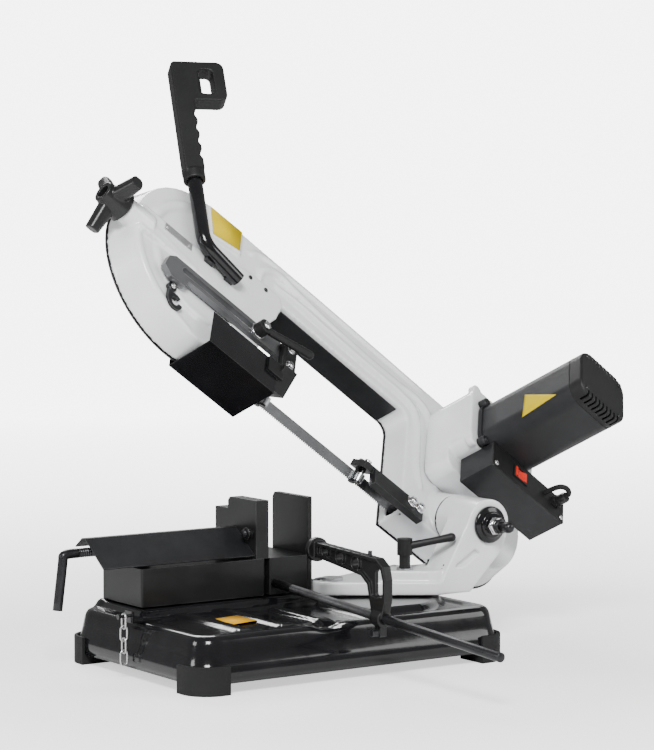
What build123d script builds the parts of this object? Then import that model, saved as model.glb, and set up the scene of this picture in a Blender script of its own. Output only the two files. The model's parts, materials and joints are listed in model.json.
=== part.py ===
from build123d import *
import os
from math import cos, pi, radians, sin

# Horizontal band saw with a canted bow, in millimetres.
# Origin: centre of the bolt rectangle under the feet, on the floor.
# +X runs along the vise towards the hinge, +Y away from the operator, +Z up.
#
# The bow has its own axes: u along the blade from the idler wheel to the drive wheel,
# v across the wheels towards the beam, w along the wheel spindles towards the motor.

# ---- driving dimensions: stand and vise ----
FOOT_X = 557.0
FOOT_Y = 370.0
TRAY_LENGTH = 600.0
TRAY_WIDTH = 412.0
TRAY_BOTTOM = 17.0
TRAY_TOP = 90.0
PAD_TOP = 102.0
SHEET = 3.0
FOOT_BOLT_R = 5.5
BED_TOP = 164.0
BED_FRONT = 58.0
BODY_LEFT = -246.0
BODY_RIGHT = -7.0
BODY_DEPTH = 130.0
JAW_FACE = 0.0
JAW_THICK = 25.0
JAW_TOP = 262.0
JAW_DEPTH = 112.0
FIXED_FACE = 80.0
SCREW_Y = 125.0
SCREW_Z = 190.0
SCREW_R = 8.0
COVER_LEFT = -315.0
RIDGE_Z = 213.0

# ---- driving dimensions: swivel ----
PIVOT = (100.0, 15.0)
PIVOT_PIN_R = 12.0
PLATE_TOP = 124.0
PLATE_TIP_R = 33.0
LOCK = (200.0, -55.0)
LOCK_TOP = 142.0
HINGE = (339.0, 214.0)
HUB_R = 43.0
HUB_FRONT = -107.0
HUB_BACK = -12.0
SEAL_BACK = -8.0
PIN_END = 16.0
HINGE_PIN_R = 15.0

# ---- driving dimensions: bow ----
ARM_RAISE = 36.2
CANT = 35.0
BLADE_ORIGIN = (-42.0, 15.0, 432.0)
WHEEL_R = 142.0
IDLER_U = -190.0
DRIVE_U = 485.0
BAND_WIDTH = 20.0
BAND_THICK = 0.9
BAND_GAP = 0.02
WHEEL_V = WHEEL_R + BAND_GAP + BAND_THICK / 2
CASE_R = 165.0
CASE_DRAFT = 12.0
CASE_BACK = -30.0
CASE_FRONT = 25.0
CASE_WALL = 7.0
RIDGE_RISE = 4.0
BOX_RISE = CASE_FRONT + 8
BEAM_LOW = 208.0
THROAT_U = 327.0
MOVING_GUIDE_U = 0.0
FIXED_GUIDE_U = 235.0
MOTOR = (455.0, 176.0)
MOTOR_SIZE = (120.0, 104.0)
MOTOR_START = 130.0
MOTOR_END = 357.0
LAYSHAFT = (495.0, 190.0)
TENSION_W = 17.0
RUN = 0.05

os.makedirs("parts", exist_ok=True)

RAISE = radians(ARM_RAISE)
LEAN = radians(CANT)
ALONG = Vector(cos(RAISE), 0, -sin(RAISE))
UPRIGHT = Vector(sin(RAISE), 0, cos(RAISE))
OUT = Vector(0, -cos(LEAN), 0) + UPRIGHT * sin(LEAN)
BOW = Plane(origin=BLADE_ORIGIN, x_dir=ALONG, z_dir=OUT)
# The cutting plane stands upright: x along the blade, y towards the blade's back.
CUT = Plane(origin=BLADE_ORIGIN, x_dir=ALONG, z_dir=(0, -1, 0))


def save(name, shape, colour):
    """Write one sub-part under its own name."""
    if isinstance(shape, (list, tuple)):
        shape = Compound(children=list(shape))
    shape.label = name
    shape.color = Color(*colour)
    export_step(shape, f"parts/{name}.step")


def block(low, high):
    """A box between two corners."""
    size = [b - a for a, b in zip(low, high)]
    centre = [(a + b) / 2 for a, b in zip(low, high)]
    return Pos(*centre) * Box(*size)


def rod(start, end, radius):
    """A round bar between two points."""
    start, end = Vector(*start), Vector(*end)
    axis = end - start
    plane = Plane(origin=start, z_dir=axis)
    return plane.location * Cylinder(
        radius, axis.length, align=(Align.CENTER, Align.CENTER, Align.MIN)
    )


def tube(start, end, outer, inner):
    """A round pipe between two points."""
    return rod(start, end, outer) - rod(start, end, inner)


def bow(shape):
    """Place a shape drawn in the bow's own axes."""
    if isinstance(shape, (list, tuple)):
        return [BOW.location * s for s in shape]
    return BOW.location * shape


def bow_back(shape):
    """Bring a shape of the saw's frame into the bow's own axes."""
    return BOW.location.inverse() * shape


def cut_plane(shape):
    """Place a shape drawn in the upright cutting plane."""
    return CUT.location * shape


def polygon(points, plane, amount):
    """A prism on a polygon."""
    face = make_face(Polyline(*points, close=True).edges())
    return extrude(plane.location * face, amount=amount)


def side_slab(points, front, back):
    """A prism on a polygon of (x, z) points, from y = front to y = back."""
    return polygon(points, Plane.XZ.offset(-back), back - front)


BLACK = (0.05, 0.05, 0.055)
WHITE = (0.86, 0.87, 0.87)
GREY = (0.28, 0.29, 0.3)
STEEL = (0.62, 0.63, 0.65)


# ---- stand ----
def base_tray():
    """Pressed tray: rounded skirt, raised pad under vise and swivel, swaged ribs on top."""
    height = TRAY_TOP - TRAY_BOTTOM
    low = Pos(0, 0, TRAY_BOTTOM) * RectangleRounded(TRAY_LENGTH, TRAY_WIDTH, 42)
    high = Pos(0, 0, TRAY_TOP) * RectangleRounded(TRAY_LENGTH - 24, TRAY_WIDTH - 24, 36)
    outer = loft([low, high], ruled=True)
    outer = fillet(outer.faces().sort_by(Axis.Z)[-1].edges(), 9)
    inner_low = Pos(0, 0, TRAY_BOTTOM) * RectangleRounded(
        TRAY_LENGTH - 2 * SHEET, TRAY_WIDTH - 2 * SHEET, 39
    )
    inner_high = Pos(0, 0, TRAY_TOP - SHEET) * RectangleRounded(
        TRAY_LENGTH - 24 - 2 * SHEET, TRAY_WIDTH - 24 - 2 * SHEET, 33
    )
    tray = outer - loft([inner_low, inner_high], ruled=True)
    vise_pad = block((BODY_LEFT - 6, 44, TRAY_TOP - SHEET), (96, 194, PAD_TOP))
    swivel_pad = extrude(
        Pos(PIVOT[0], PIVOT[1], TRAY_TOP - SHEET) * Circle(176), PAD_TOP - TRAY_TOP + SHEET
    )
    swivel_pad = swivel_pad & block((60, -150, TRAY_TOP - SHEET), (282, 190, PAD_TOP))
    tray = tray + vise_pad + swivel_pad
    for x in (-190, -110, -30):
        tray = tray + Pos(x, -70, TRAY_TOP) * Box(26, 190, 8)
    for x in (-FOOT_X / 2, FOOT_X / 2):
        for y in (-FOOT_Y / 2, FOOT_Y / 2):
            column = Pos(x, y, 0) * extrude(Pos(0, 0, TRAY_BOTTOM) * Circle(16), height - 6)
            tray = tray + (column & outer)
            tray = tray - rod((x, y, 0), (x, y, TRAY_TOP - 8), FOOT_BOLT_R)
    return tray - rod((*PIVOT, 0), (*PIVOT, 200), PIVOT_PIN_R)


def rubber_feet():
    """Four corner boots, each hugging a corner of the tray's skirt."""
    skirt = extrude(
        Pos(0, 0, TRAY_BOTTOM) * RectangleRounded(TRAY_LENGTH, TRAY_WIDTH, 42), 60
    )
    wall = extrude(RectangleRounded(TRAY_LENGTH + 12, TRAY_WIDTH + 12, 47), 46)
    feet = []
    for sx in (-1, 1):
        for sy in (-1, 1):
            corner = block(
                (min(sx * 245, sx * 310), min(sy * 150, sy * 215), 0),
                (max(sx * 245, sx * 310), max(sy * 150, sy * 215), 46),
            )
            foot = (wall & corner) - skirt
            x, y = sx * FOOT_X / 2, sy * FOOT_Y / 2
            feet.append(foot - rod((x, y, -1), (x, y, TRAY_BOTTOM), FOOT_BOLT_R))
    return feet


CHAIN_PIN = (2.0, 101.0)
CHAIN_PIN_R = 2.5
CHAIN_X = -312.0
WIRE_R = 1.6


def chain_anchor():
    """Bent plate on the tray's left end with a headed pin that carries the holding chain."""
    y, z = CHAIN_PIN
    foot = block((-303, y - 12, TRAY_TOP), (-248, y + 12, TRAY_TOP + SHEET))
    ear = block((-303, y - 12, TRAY_TOP), (-300, y + 12, z + 8))
    pin = rod((-301, y, z), (CHAIN_X - 8, y, z), CHAIN_PIN_R)
    head = rod((CHAIN_X - 11, y, z), (CHAIN_X - 8, y, z), CHAIN_PIN_R + 2)
    return foot + ear + pin + head


def chain_link(turn):
    """One long link of round wire, standing upright."""
    path = Wire(
        Polyline((0, 0), (0, 12)).edges()
        + [CenterArc((-6, 12), 6, 0, 180).edge()]
        + Polyline((-12, 12), (-12, 0)).edges()
        + [CenterArc((-6, 0), 6, 180, 180).edge()]
    )
    path = Pos(6, -6, 0) * path
    section = Plane(origin=path @ 0, z_dir=path % 0) * Circle(WIRE_R)
    return Rot(0, 0, turn) * (Rot(90, 0, 0) * sweep(section, path=path))


def chain():
    """Four hanging links, each a quarter turn from the one above; the first hangs on the pin."""
    y, z = CHAIN_PIN
    top = z + CHAIN_PIN_R + RUN + WIRE_R - 12
    pitch = 19.6
    return [
        Pos(CHAIN_X, y, top - pitch * i) * chain_link(90 * ((i + 1) % 2)) for i in range(4)
    ]


# ---- vise ----
def vise_body():
    """Cast bed of the vise."""
    body = block((BODY_LEFT, BED_FRONT, PAD_TOP), (BODY_RIGHT, BED_FRONT + BODY_DEPTH, BED_TOP))
    body = fillet(body.edges().filter_by(Axis.Z), 4)
    hollow = block(
        (BODY_LEFT + 10, BED_FRONT + 10, PAD_TOP),
        (BODY_RIGHT - 10, BED_FRONT + BODY_DEPTH - 10, BED_TOP - 12),
    )
    return body - hollow


def vise_nut():
    """Round nut on a pedestal, fixed to the bed."""
    left = BODY_LEFT + 16
    nut = rod((left, SCREW_Y, SCREW_Z), (left + 34, SCREW_Y, SCREW_Z), 13)
    nut = nut + block((left, SCREW_Y - 9, BED_TOP), (left + 34, SCREW_Y + 9, SCREW_Z))
    return nut - rod((left - 1, SCREW_Y, SCREW_Z), (left + 35, SCREW_Y, SCREW_Z), SCREW_R + RUN)


def vise_cover():
    """Folded sheet roof that travels with the jaw over the screw."""
    front = BED_FRONT + 3
    outer = [(front, 170), (SCREW_Y - 4, RIDGE_Z), (SCREW_Y + 8, RIDGE_Z), (SCREW_Y + 30, 198)]
    thick = 2.0
    inner = [(SCREW_Y + 29, 196), (SCREW_Y + 7.4, RIDGE_Z - thick)]
    inner += [(SCREW_Y - 3.3, RIDGE_Z - thick), (front + 1.2, 168.2)]
    sheet = polygon(outer + inner, Plane.YZ, -COVER_LEFT - JAW_THICK)
    return Pos(COVER_LEFT, 0, 0) * sheet


def movable_jaw():
    """Sliding jaw with a stepped back corner and a boss that holds the end of the screw."""
    back = BED_FRONT + JAW_DEPTH + 16
    outline = [
        (BED_FRONT, BED_TOP),
        (BED_FRONT, JAW_TOP),
        (back - 46, JAW_TOP),
        (back - 40, JAW_TOP - 6),
        (back - 40, JAW_TOP - 20),
        (back, JAW_TOP - 20),
        (back, BED_TOP),
    ]
    plate = Pos(JAW_FACE - JAW_THICK, 0, 0) * polygon(outline, Plane.YZ, JAW_THICK)
    boss_end = JAW_FACE - JAW_THICK - 14
    jaw = plate + rod((boss_end, SCREW_Y, SCREW_Z), (JAW_FACE - JAW_THICK, SCREW_Y, SCREW_Z), 14)
    jaw = jaw + rod(
        (JAW_FACE - JAW_THICK - 6, SCREW_Y - 48, 206), (JAW_FACE - JAW_THICK, SCREW_Y - 48, 206), 7
    )
    socket = rod((boss_end - 1, SCREW_Y, SCREW_Z), (JAW_FACE - 9, SCREW_Y, SCREW_Z), SCREW_R + RUN)
    return jaw - socket


def vise_screw():
    """Threaded rod with a bent crank at its outer end."""
    outer_end = -353.0
    shaft = rod((outer_end, SCREW_Y, SCREW_Z), (JAW_FACE - 10, SCREW_Y, SCREW_Z), SCREW_R)
    crank_end = (outer_end - 12, SCREW_Y, SCREW_Z - 92)
    crank = rod((outer_end, SCREW_Y, SCREW_Z), crank_end, SCREW_R)
    screw = shaft + crank + Pos(outer_end, SCREW_Y, SCREW_Z) * Sphere(SCREW_R)
    grooves = [
        Pos(x, SCREW_Y, SCREW_Z) * Rot(0, 90, 0) * Torus(SCREW_R, 0.9)
        for x in range(-336, -270, 4)
    ]
    for groove in grooves:
        screw = screw - groove
    return screw


def bed_block():
    """Block that carries the work between the jaws."""
    bed = block((2, BED_FRONT, PAD_TOP), (FIXED_FACE, BED_FRONT + BODY_DEPTH, BED_TOP))
    bed = fillet(bed.edges().filter_by(Axis.Z), 3)
    return bed - stop_rod()


def fixed_jaw():
    """Upright jaw plate with a bevelled top corner, bolted to the end of the bed."""
    thick = 12
    back = BED_FRONT + JAW_DEPTH
    outline = [
        (BED_FRONT, PAD_TOP),
        (BED_FRONT, JAW_TOP),
        (back - 6, JAW_TOP),
        (back, JAW_TOP - 8),
        (back, PAD_TOP),
    ]
    plate = Pos(FIXED_FACE, 0, 0) * polygon(outline, Plane.YZ, thick)
    edge = plate.edges().filter_by(Axis.Z).sort_by(Axis.Y)[:2].sort_by(Axis.X)[-1]
    return chamfer(edge, 6)


# ---- cut-off stop ----
ROD_ROOT = (13.0, 78.0, 122.0)
ROD_TIP = (13.0, -556.0, 83.0)
ROD_R = 7.5
ROD_SLOPE = (ROD_ROOT[2] - ROD_TIP[2]) / (ROD_ROOT[1] - ROD_TIP[1])


def rod_height(y):
    """Height of the stop rod's axis at a given y."""
    return ROD_ROOT[2] + (y - ROD_ROOT[1]) * ROD_SLOPE


def stop_rod():
    """Round bar that sticks out of the bed towards the operator, drooping a little."""
    return rod(ROD_ROOT, ROD_TIP, ROD_R)


def stop_arm():
    """Cast L-shaped arm: ring on the rod, oval window, three round holes and a stop disc."""
    x, half = ROD_ROOT[0], 8.0
    clamp_y = -247.0
    clamp_z = rod_height(clamp_y)
    top = 197.0
    outline = [
        (clamp_y - 13, clamp_z),
        (clamp_y - 21, clamp_z + 28),
        (clamp_y - 22, top - 34),
        (clamp_y - 16, top - 12),
        (clamp_y + 2, top),
        (-70, top + 8),
        (-70, top - 16),
        (clamp_y + 44, top - 32),
        (clamp_y + 27, top - 44),
        (clamp_y + 22, top - 62),
        (clamp_y + 13, clamp_z),
    ]
    plane = Plane.YZ.offset(x - half)
    body = polygon(outline, plane, 2 * half)
    inset = [(clamp_y - 15, clamp_z + 34), (clamp_y - 16, top - 36), (clamp_y - 10, top - 18)]
    inset += [(clamp_y + 3, top - 6), (-80, top + 1), (-80, top - 10), (clamp_y + 42, top - 26)]
    inset += [(clamp_y + 20, top - 40), (clamp_y + 15, top - 62), (clamp_y + 14, clamp_z + 34)]
    web = 3.0
    for low in (x - half, x + web):
        body = body - polygon(inset, Plane.YZ.offset(low), half - web)
    holes = [(-186, top - 14, 9.5), (-142, top - 9.5, 9.5), (-100, top - 5, 8.0)]
    for y, z, radius in holes:
        body = body + rod((x - half, y, z), (x + half, y, z), radius + 2.5)
        body = body - rod((x - half - 1, y, z), (x + half + 1, y, z), radius)
    window = Plane.YZ.offset(x - half - 1).location * (
        Pos(clamp_y, clamp_z + 55) * Rot(0, 0, 90) * SlotOverall(46, 20)
    )
    body = body - extrude(window, 2 * half + 2)
    tilt = Vector(0, 1, ROD_SLOPE).normalized()
    centre = Vector(x, clamp_y, clamp_z)
    ring = rod(centre - tilt * 12, centre + tilt * 12, 14)
    disc = rod((x, -72, top - 5), (x, -62, top - 5), 20)
    ear = block((x - 6, clamp_y - 8, clamp_z - 30), (x + 6, clamp_y + 8, clamp_z - 8))
    body = body + ring + disc + ear
    return body - rod(centre - tilt * 60, centre + tilt * 60, ROD_R + RUN)


def stop_screw():
    """Clamp screw under the ring and the small screw on top of the arm."""
    clamp_y = -247.0
    z = rod_height(clamp_y) - 23
    clamp = rod((ROD_ROOT[0] - 18, clamp_y, z), (ROD_ROOT[0] - 6, clamp_y, z), 6)
    top = rod((ROD_ROOT[0], -218, 198.4), (ROD_ROOT[0], -218, 206), 3.5)
    return [clamp, top]


# ---- swivel ----
def turret_pin():
    """Upright pin that the saw head swivels on."""
    head = rod((*PIVOT, PLATE_TOP), (*PIVOT, PLATE_TOP + 5), PIVOT_PIN_R + 6)
    return rod((*PIVOT, TRAY_TOP - SHEET), (*PIVOT, PLATE_TOP + 1), PIVOT_PIN_R - RUN) + head


def swivel_bracket():
    """Cast swivel plate, leaning column and hinge hub in one piece."""
    px, py = PIVOT
    hx, hz = HINGE
    right = 301.0
    left = 228.0
    plate = [(px - 12, py - 31), (left, HUB_FRONT), (right, HUB_FRONT), (right, 115), (px + 14, py + 30)]
    casting = polygon(plate, Plane.XY.offset(PAD_TOP), PLATE_TOP - PAD_TOP)
    inner = right - 10
    deck = [(158, -48), (left - 4, HUB_FRONT + 10), (inner, HUB_FRONT + 4), (inner, -14), (168, -14)]
    casting = casting + polygon(deck, Plane.XY.offset(PLATE_TOP - 1), LOCK_TOP - PLATE_TOP + 1)
    casting = casting + rod((px, py, PAD_TOP), (px, py, PLATE_TOP), PLATE_TIP_R)
    column = [
        (left, PAD_TOP),
        (left + 24, 146),
        (hx - HUB_R + 3, hz + 14),
        (hx, hz + 20),
        (hx + HUB_R - 1, hz - 8),
        (hx + HUB_R - 12, hz - 44),
        (right, PAD_TOP),
    ]
    casting = casting + side_slab(column, HUB_FRONT, HUB_FRONT + 60)
    recess = [(left + 36, 146), (left + 82, hz - 40), (left + 92, hz - 48), (right - 14, 146)]
    casting = casting - side_slab(recess, HUB_FRONT, HUB_FRONT + 6)
    casting = casting + rod((hx, HUB_FRONT, hz), (hx, HUB_BACK, hz), HUB_R)
    casting = casting - rod((hx, HUB_FRONT - 1, hz), (hx, HUB_BACK + 1, hz), HINGE_PIN_R + 5)
    casting = casting - rod((*LOCK, 90), (*LOCK, LOCK_TOP + 1), 7)
    return casting - rod((px, py, 90), (px, py, 140), PIVOT_PIN_R)


def hinge_bushes():
    """Two bronze bushes in the hub."""
    hx, hz = HINGE
    outer = HINGE_PIN_R + 5
    front = tube((hx, HUB_FRONT, hz), (hx, HUB_FRONT + 28, hz), outer, HINGE_PIN_R + RUN)
    back = tube((hx, HUB_BACK - 28, hz), (hx, HUB_BACK, hz), outer, HINGE_PIN_R + RUN)
    return [front, back]


def return_spring():
    """Torsion spring round the hinge pin, between the bushes."""
    hx, hz = HINGE
    start = HUB_FRONT + 32
    helix = Helix(pitch=5, height=31, radius=HINGE_PIN_R + 2.5)
    section = Plane(origin=helix @ 0, z_dir=helix % 0) * Circle(1.2)
    coil = sweep(section, path=helix)
    return Pos(hx, start, hz) * (Rot(-90, 0, 0) * coil)


def turret_lock_stud():
    """Stud and washer under the swivel lock lever."""
    x, y = LOCK
    washer = rod((x, y, LOCK_TOP), (x, y, LOCK_TOP + 3), 14)
    return washer + rod((x, y, TRAY_TOP + 13), (x, y, LOCK_TOP + 32), 6.9)


def turret_lock_lever():
    """Clamping lever: upright hub and a tapered handle."""
    x, y = LOCK
    low = LOCK_TOP + 3
    hub = rod((x, y, low), (x, y, low + 22), 9.5) + rod((x, y, low + 22), (x, y, low + 50), 13)
    grip_z = low + 36
    towards = (0.81, -0.56, 0.2)
    marks = [(6, 7.5), (46, 6.2), (80, 7.5)]
    sections = [
        Plane(
            origin=(x + towards[0] * d, y + towards[1] * d, grip_z + towards[2] * d), z_dir=towards
        ).location
        * Circle(radius)
        for d, radius in marks
    ]
    end, end_r = marks[-1]
    knob = Pos(x + towards[0] * end, y + towards[1] * end, grip_z + towards[2] * end)
    lever = hub + loft(sections) + knob * Sphere(end_r)
    return lever - rod((x, y, low - 1), (x, y, LOCK_TOP + 34), 6.95)


# ---- bow: casting and covers ----
def case_face(radius, inset, corner):
    """The outline as a face, with its throat corners rounded."""
    low = BEAM_LOW + inset
    throat = THROAT_U + inset
    reach = (radius**2 - (low - WHEEL_V) ** 2) ** 0.5
    top, bottom = WHEEL_V + radius, WHEEL_V - radius
    left = (IDLER_U - radius, WHEEL_V)
    lines = Line((IDLER_U, top), (DRIVE_U, top))
    lines += ThreePointArc((DRIVE_U, top), (DRIVE_U + radius, WHEEL_V), (DRIVE_U, bottom))
    lines += Line((DRIVE_U, bottom), (throat, bottom))
    lines += Line((throat, bottom), (throat, low))
    lines += Line((throat, low), (IDLER_U + reach, low))
    lower = (IDLER_U, bottom)
    right = (IDLER_U + radius, WHEEL_V)
    lines += ThreePointArc((IDLER_U + reach, low), right, lower)
    lines += ThreePointArc(lower, left, (IDLER_U, top))
    face = make_face(lines)
    wanted = [(throat, low), (IDLER_U + reach, low)]
    corners = [
        v
        for v in face.vertices()
        if any(abs(v.X - x) + abs(v.Y - y) < 0.01 for x, y in wanted)
    ]
    return fillet(corners, corner)


def case_solid(back_radius, front_radius, inset, back, front, corner):
    """Drafted solid of the bow between two w levels."""
    low = Pos(0, 0, back) * case_face(back_radius, inset, corner)
    high = Pos(0, 0, front) * case_face(front_radius, inset, corner)
    return loft([low, high], ruled=True)


def wheel_room():
    """Space that the wheels and the band need inside the casting."""
    inner_front = CASE_FRONT - CASE_WALL
    draft = CASE_DRAFT * (inner_front - CASE_BACK) / (CASE_FRONT - CASE_BACK)
    back_radius = CASE_R - CASE_WALL
    return case_solid(back_radius, back_radius - draft, CASE_WALL, CASE_BACK - 1, inner_front, 14)


def hinge_boss():
    """Boss on the bow that takes the hinge pin."""
    hx, hz = HINGE
    return bow_back(rod((hx, SEAL_BACK, hz), (hx, 42, hz), HUB_R - 1))


def hinge_pin_bar():
    """The hinge pin's buried part."""
    hx, hz = HINGE
    return bow_back(rod((hx, SEAL_BACK - 2, hz), (hx, PIN_END, hz), HINGE_PIN_R))


def bow_casting():
    """White cast bow with ridges, tension box, spindle boss and hinge boss."""
    shell = case_solid(CASE_R, CASE_R - CASE_DRAFT, 0, CASE_BACK, CASE_FRONT, 22)
    shell = shell + hinge_boss()
    shell = shell - wheel_room()
    inner = CASE_FRONT - CASE_WALL
    spindle = (DRIVE_U, WHEEL_V)
    shell = shell + rod((*spindle, inner), (*spindle, 50), 34)
    box_low = (IDLER_U - 148, WHEEL_V - 27, 12.5)
    box = block(box_low, (IDLER_U + 38, WHEEL_V + 27, BOX_RISE))
    nose = rod((IDLER_U - 176, WHEEL_V, TENSION_W), (IDLER_U - 120, WHEEL_V, TENSION_W), 22)
    shell = shell + box + nose
    shell = shell - rod((IDLER_U, WHEEL_V, -20), (IDLER_U, WHEEL_V, 12.5), WHEEL_R + 3)
    pocket = block((IDLER_U - 60, WHEEL_V - 20, 0), (IDLER_U + 32, WHEEL_V + 20, 29))
    shell = shell - pocket
    screw = rod((IDLER_U - 190, WHEEL_V, TENSION_W), (IDLER_U, WHEEL_V, TENSION_W), 5 + RUN)
    shell = shell - screw
    base, crest = CASE_FRONT - 1, CASE_FRONT + RIDGE_RISE
    shell = shell + block((-20, 235, base), (340, 243, crest)) + block((346, 100, base), (354, 236, crest))
    shell = shell + block((-20, 252, base), (368, 260, crest))
    disc = rod((IDLER_U, WHEEL_V, base), (IDLER_U, WHEEL_V, crest), 103)
    shell = shell + (disc & block((-400, -40, 0), (-60, WHEEL_V - 25, 60)))
    shell = shell + (bar_supports() - wheel_room())
    slot_v = 12
    shell = shell - block((THROAT_U - 10, -slot_v, -14), (THROAT_U + 22, slot_v, 14))
    shell = shell - block((IDLER_U + 30, -slot_v - 2, -14), (IDLER_U + 115, slot_v, 14))
    shell = shell - rod((*spindle, 0), (*spindle, 60), 26)
    lay = (*LAYSHAFT, 20)
    shell = shell - rod(lay, (*LAYSHAFT, 40), 6 + RUN)
    return shell - hinge_pin_bar() - hinge_clearance()


def rear_cover():
    """Dark sheet cover: back plate and a flange that lines the throat."""
    thick = 2.0
    plate = extrude(
        Pos(0, 0, CASE_BACK - thick) * case_face(CASE_R + 1.5, -1.5, 22), amount=thick
    )
    lining = block((4, BEAM_LOW - 1.8, CASE_BACK - thick), (THROAT_U - 23, BEAM_LOW - 0.05, 16))
    return plate + lining


def cover_screws():
    """Screws that hold the rear cover."""
    places = [(-190, 300), (0, 300), (240, 300), (485, 300), (-345, 130), (640, 142)]
    heads = [rod((u, v, CASE_BACK - 5), (u, v, CASE_BACK - 2), 5) for u, v in places]
    return heads


# ---- bow: hinge hardware ----
def hinge_shaft():
    """Steel hinge pin, pressed into the bow, with a threaded front end."""
    hx, hz = HINGE
    pin = rod((hx, HUB_FRONT - 8, hz), (hx, PIN_END, hz), HINGE_PIN_R)
    return pin + rod((hx, HUB_FRONT - 64, hz), (hx, HUB_FRONT - 8, hz), 9)


def hinge_washer():
    """Large black washer against the hub."""
    hx, hz = HINGE
    washer = tube((hx, HUB_FRONT - 8, hz), (hx, HUB_FRONT, hz), 31.5, HINGE_PIN_R + RUN)
    return fillet(washer.edges().sort_by(Axis.Y)[0], 2)


def hinge_nut():
    """Hexagon nut, thin lock nut and a smooth cap on the pin's end."""
    hx, hz = HINGE
    start = HUB_FRONT - 8
    plane = Plane(origin=(hx, start, hz), x_dir=(1, 0, 0), z_dir=(0, -1, 0))
    nut = extrude(plane.location * RegularPolygon(17, 6), 16)
    lock = extrude(plane.offset(18).location * RegularPolygon(15, 6), 9)
    body = nut + rod((hx, start - 16, hz), (hx, start - 18, hz), 14) + lock
    return body - rod((hx, start + 1, hz), (hx, start - 60, hz), 9)


def hinge_seal():
    """Rubber ring between the hub and the bow's boss."""
    hx, hz = HINGE
    return tube((hx, HUB_BACK, hz), (hx, SEAL_BACK, hz), HUB_R - 2, HINGE_PIN_R + 2 * RUN)


# ---- bow: drive ----
def rounded_prism(centre, size, low, high, radius):
    """Round-cornered block in the bow's axes, standing along w."""
    return extrude(
        Pos(centre[0], centre[1], low) * RectangleRounded(size[0], size[1], radius), high - low
    )


GEAR_STEP = 80.0


def gear_housing():
    """Cast reduction case between the bow and the motor."""
    low_size = (170, 162)
    low_centre = (460, 174)
    high_size = (170, 131)
    high_centre = (460, 189.5)
    wall = 8
    outer = rounded_prism(low_centre, low_size, CASE_FRONT, GEAR_STEP, 24)
    outer = outer + rounded_prism(high_centre, high_size, GEAR_STEP - 1, MOTOR_START, 24)
    room = rounded_prism(
        low_centre, (low_size[0] - 2 * wall, low_size[1] - 2 * wall), CASE_FRONT, GEAR_STEP - wall, 18
    )
    room = room + rounded_prism(
        high_centre,
        (high_size[0] - 2 * wall, high_size[1] - 2 * wall),
        GEAR_STEP - wall - 1,
        MOTOR_START - wall,
        18,
    )
    case = outer - room
    case = case - rod((*MOTOR, 100), (*MOTOR, 140), 12)
    boss = rod((*LAYSHAFT, MOTOR_START - 14), (*LAYSHAFT, MOTOR_START - 2), 11)
    case = case + boss
    for du, dv in ((-72, 62), (-72, -56), (72, 62)):
        lug = (high_centre[0] + du, high_centre[1] + dv)
        case = case + rod((*lug, MOTOR_START - 14), (*lug, MOTOR_START), 11)
    return case - rod((*LAYSHAFT, 100), (*LAYSHAFT, MOTOR_START - 4), 6 + RUN)


def hinge_clearance():
    """Room round the hinge hub that the bow's parts keep clear."""
    hx, hz = HINGE
    return bow_back(rod((hx, HUB_FRONT - 70, hz), (hx, SEAL_BACK, hz), HUB_R + 2))


def gear(tip, root, teeth, low, high, centre):
    """Spur gear with straight-sided teeth, standing along w."""
    points = []
    for i in range(teeth):
        for radius, share in ((root, 0.0), (root, 0.45), (tip, 0.6), (tip, 0.85)):
            angle = 2 * pi * (i + share) / teeth
            points.append((radius * cos(angle), radius * sin(angle)))
    face = make_face(Polyline(*points, close=True).edges())
    return extrude(Pos(centre[0], centre[1], low) * face, high - low)


def motor_rotor():
    """Armature, shaft, fan and pinion, turning as one."""
    shaft = rod((*MOTOR, 88), (*MOTOR, 343), 7)
    core = rod((*MOTOR, 180), (*MOTOR, 290), 26.5)
    windings = rod((*MOTOR, 168), (*MOTOR, 302), 22)
    hub = rod((*MOTOR, 312), (*MOTOR, 326), 12)
    fan = hub + rod((*MOTOR, 312), (*MOTOR, 314), 40)
    for i in range(9):
        blade = Pos(*MOTOR, 319) * (Rot(0, 0, 40 * i) * (Pos(24.5, 0, 0) * Box(27, 2, 11)))
        fan = fan + blade
    return shaft + core + windings + fan + gear(7.6, 7.05, 12, 92, 116, MOTOR)


def intermediate_gear():
    """Layshaft with the large gear driven by the motor and the pinion for the bull gear."""
    shaft = rod((*LAYSHAFT, 20.5), (*LAYSHAFT, MOTOR_START - 5), 6)
    return shaft + gear(34.3, 31, 46, 94, 114, LAYSHAFT) + gear(9.5, 7.6, 12, 53, 74, LAYSHAFT)


def drive_shaft():
    """Wheel spindle with the bull gear on its far end."""
    spindle = rod((DRIVE_U, WHEEL_V, -16), (DRIVE_U, WHEEL_V, 68), 12.5)
    return spindle + gear(39, 36, 52, 55, 66, (DRIVE_U, WHEEL_V))


def ball_bearing(centre, low, high, inner, outer):
    """A bearing as one ring."""
    return tube((*centre, low), (*centre, high), outer, inner)


def drive_bearings():
    """Two bearings in the spindle boss."""
    centre = (DRIVE_U, WHEEL_V)
    return [
        ball_bearing(centre, 20, 32, 12.5 + RUN, 26),
        ball_bearing(centre, 37, 49, 12.5 + RUN, 26),
    ]


def band_wheel(centre, bore):
    """Cast wheel: flat rim, thin web with lightening holes, and hub."""
    u, v = centre
    half = BAND_WIDTH / 2
    rim = tube((u, v, -half - 1), (u, v, half + 1), WHEEL_R, WHEEL_R - 11)
    web = tube((u, v, -9), (u, v, -2), WHEEL_R - 10, bore)
    hub = tube((u, v, -half - 1), (u, v, 4), 34, bore)
    wheel = rim + web + hub
    for i in range(6):
        angle = pi / 3 * i
        hole = (u + 80 * cos(angle), v + 80 * sin(angle))
        wheel = wheel - rod((*hole, -20), (*hole, 5), 20)
    return wheel


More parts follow.
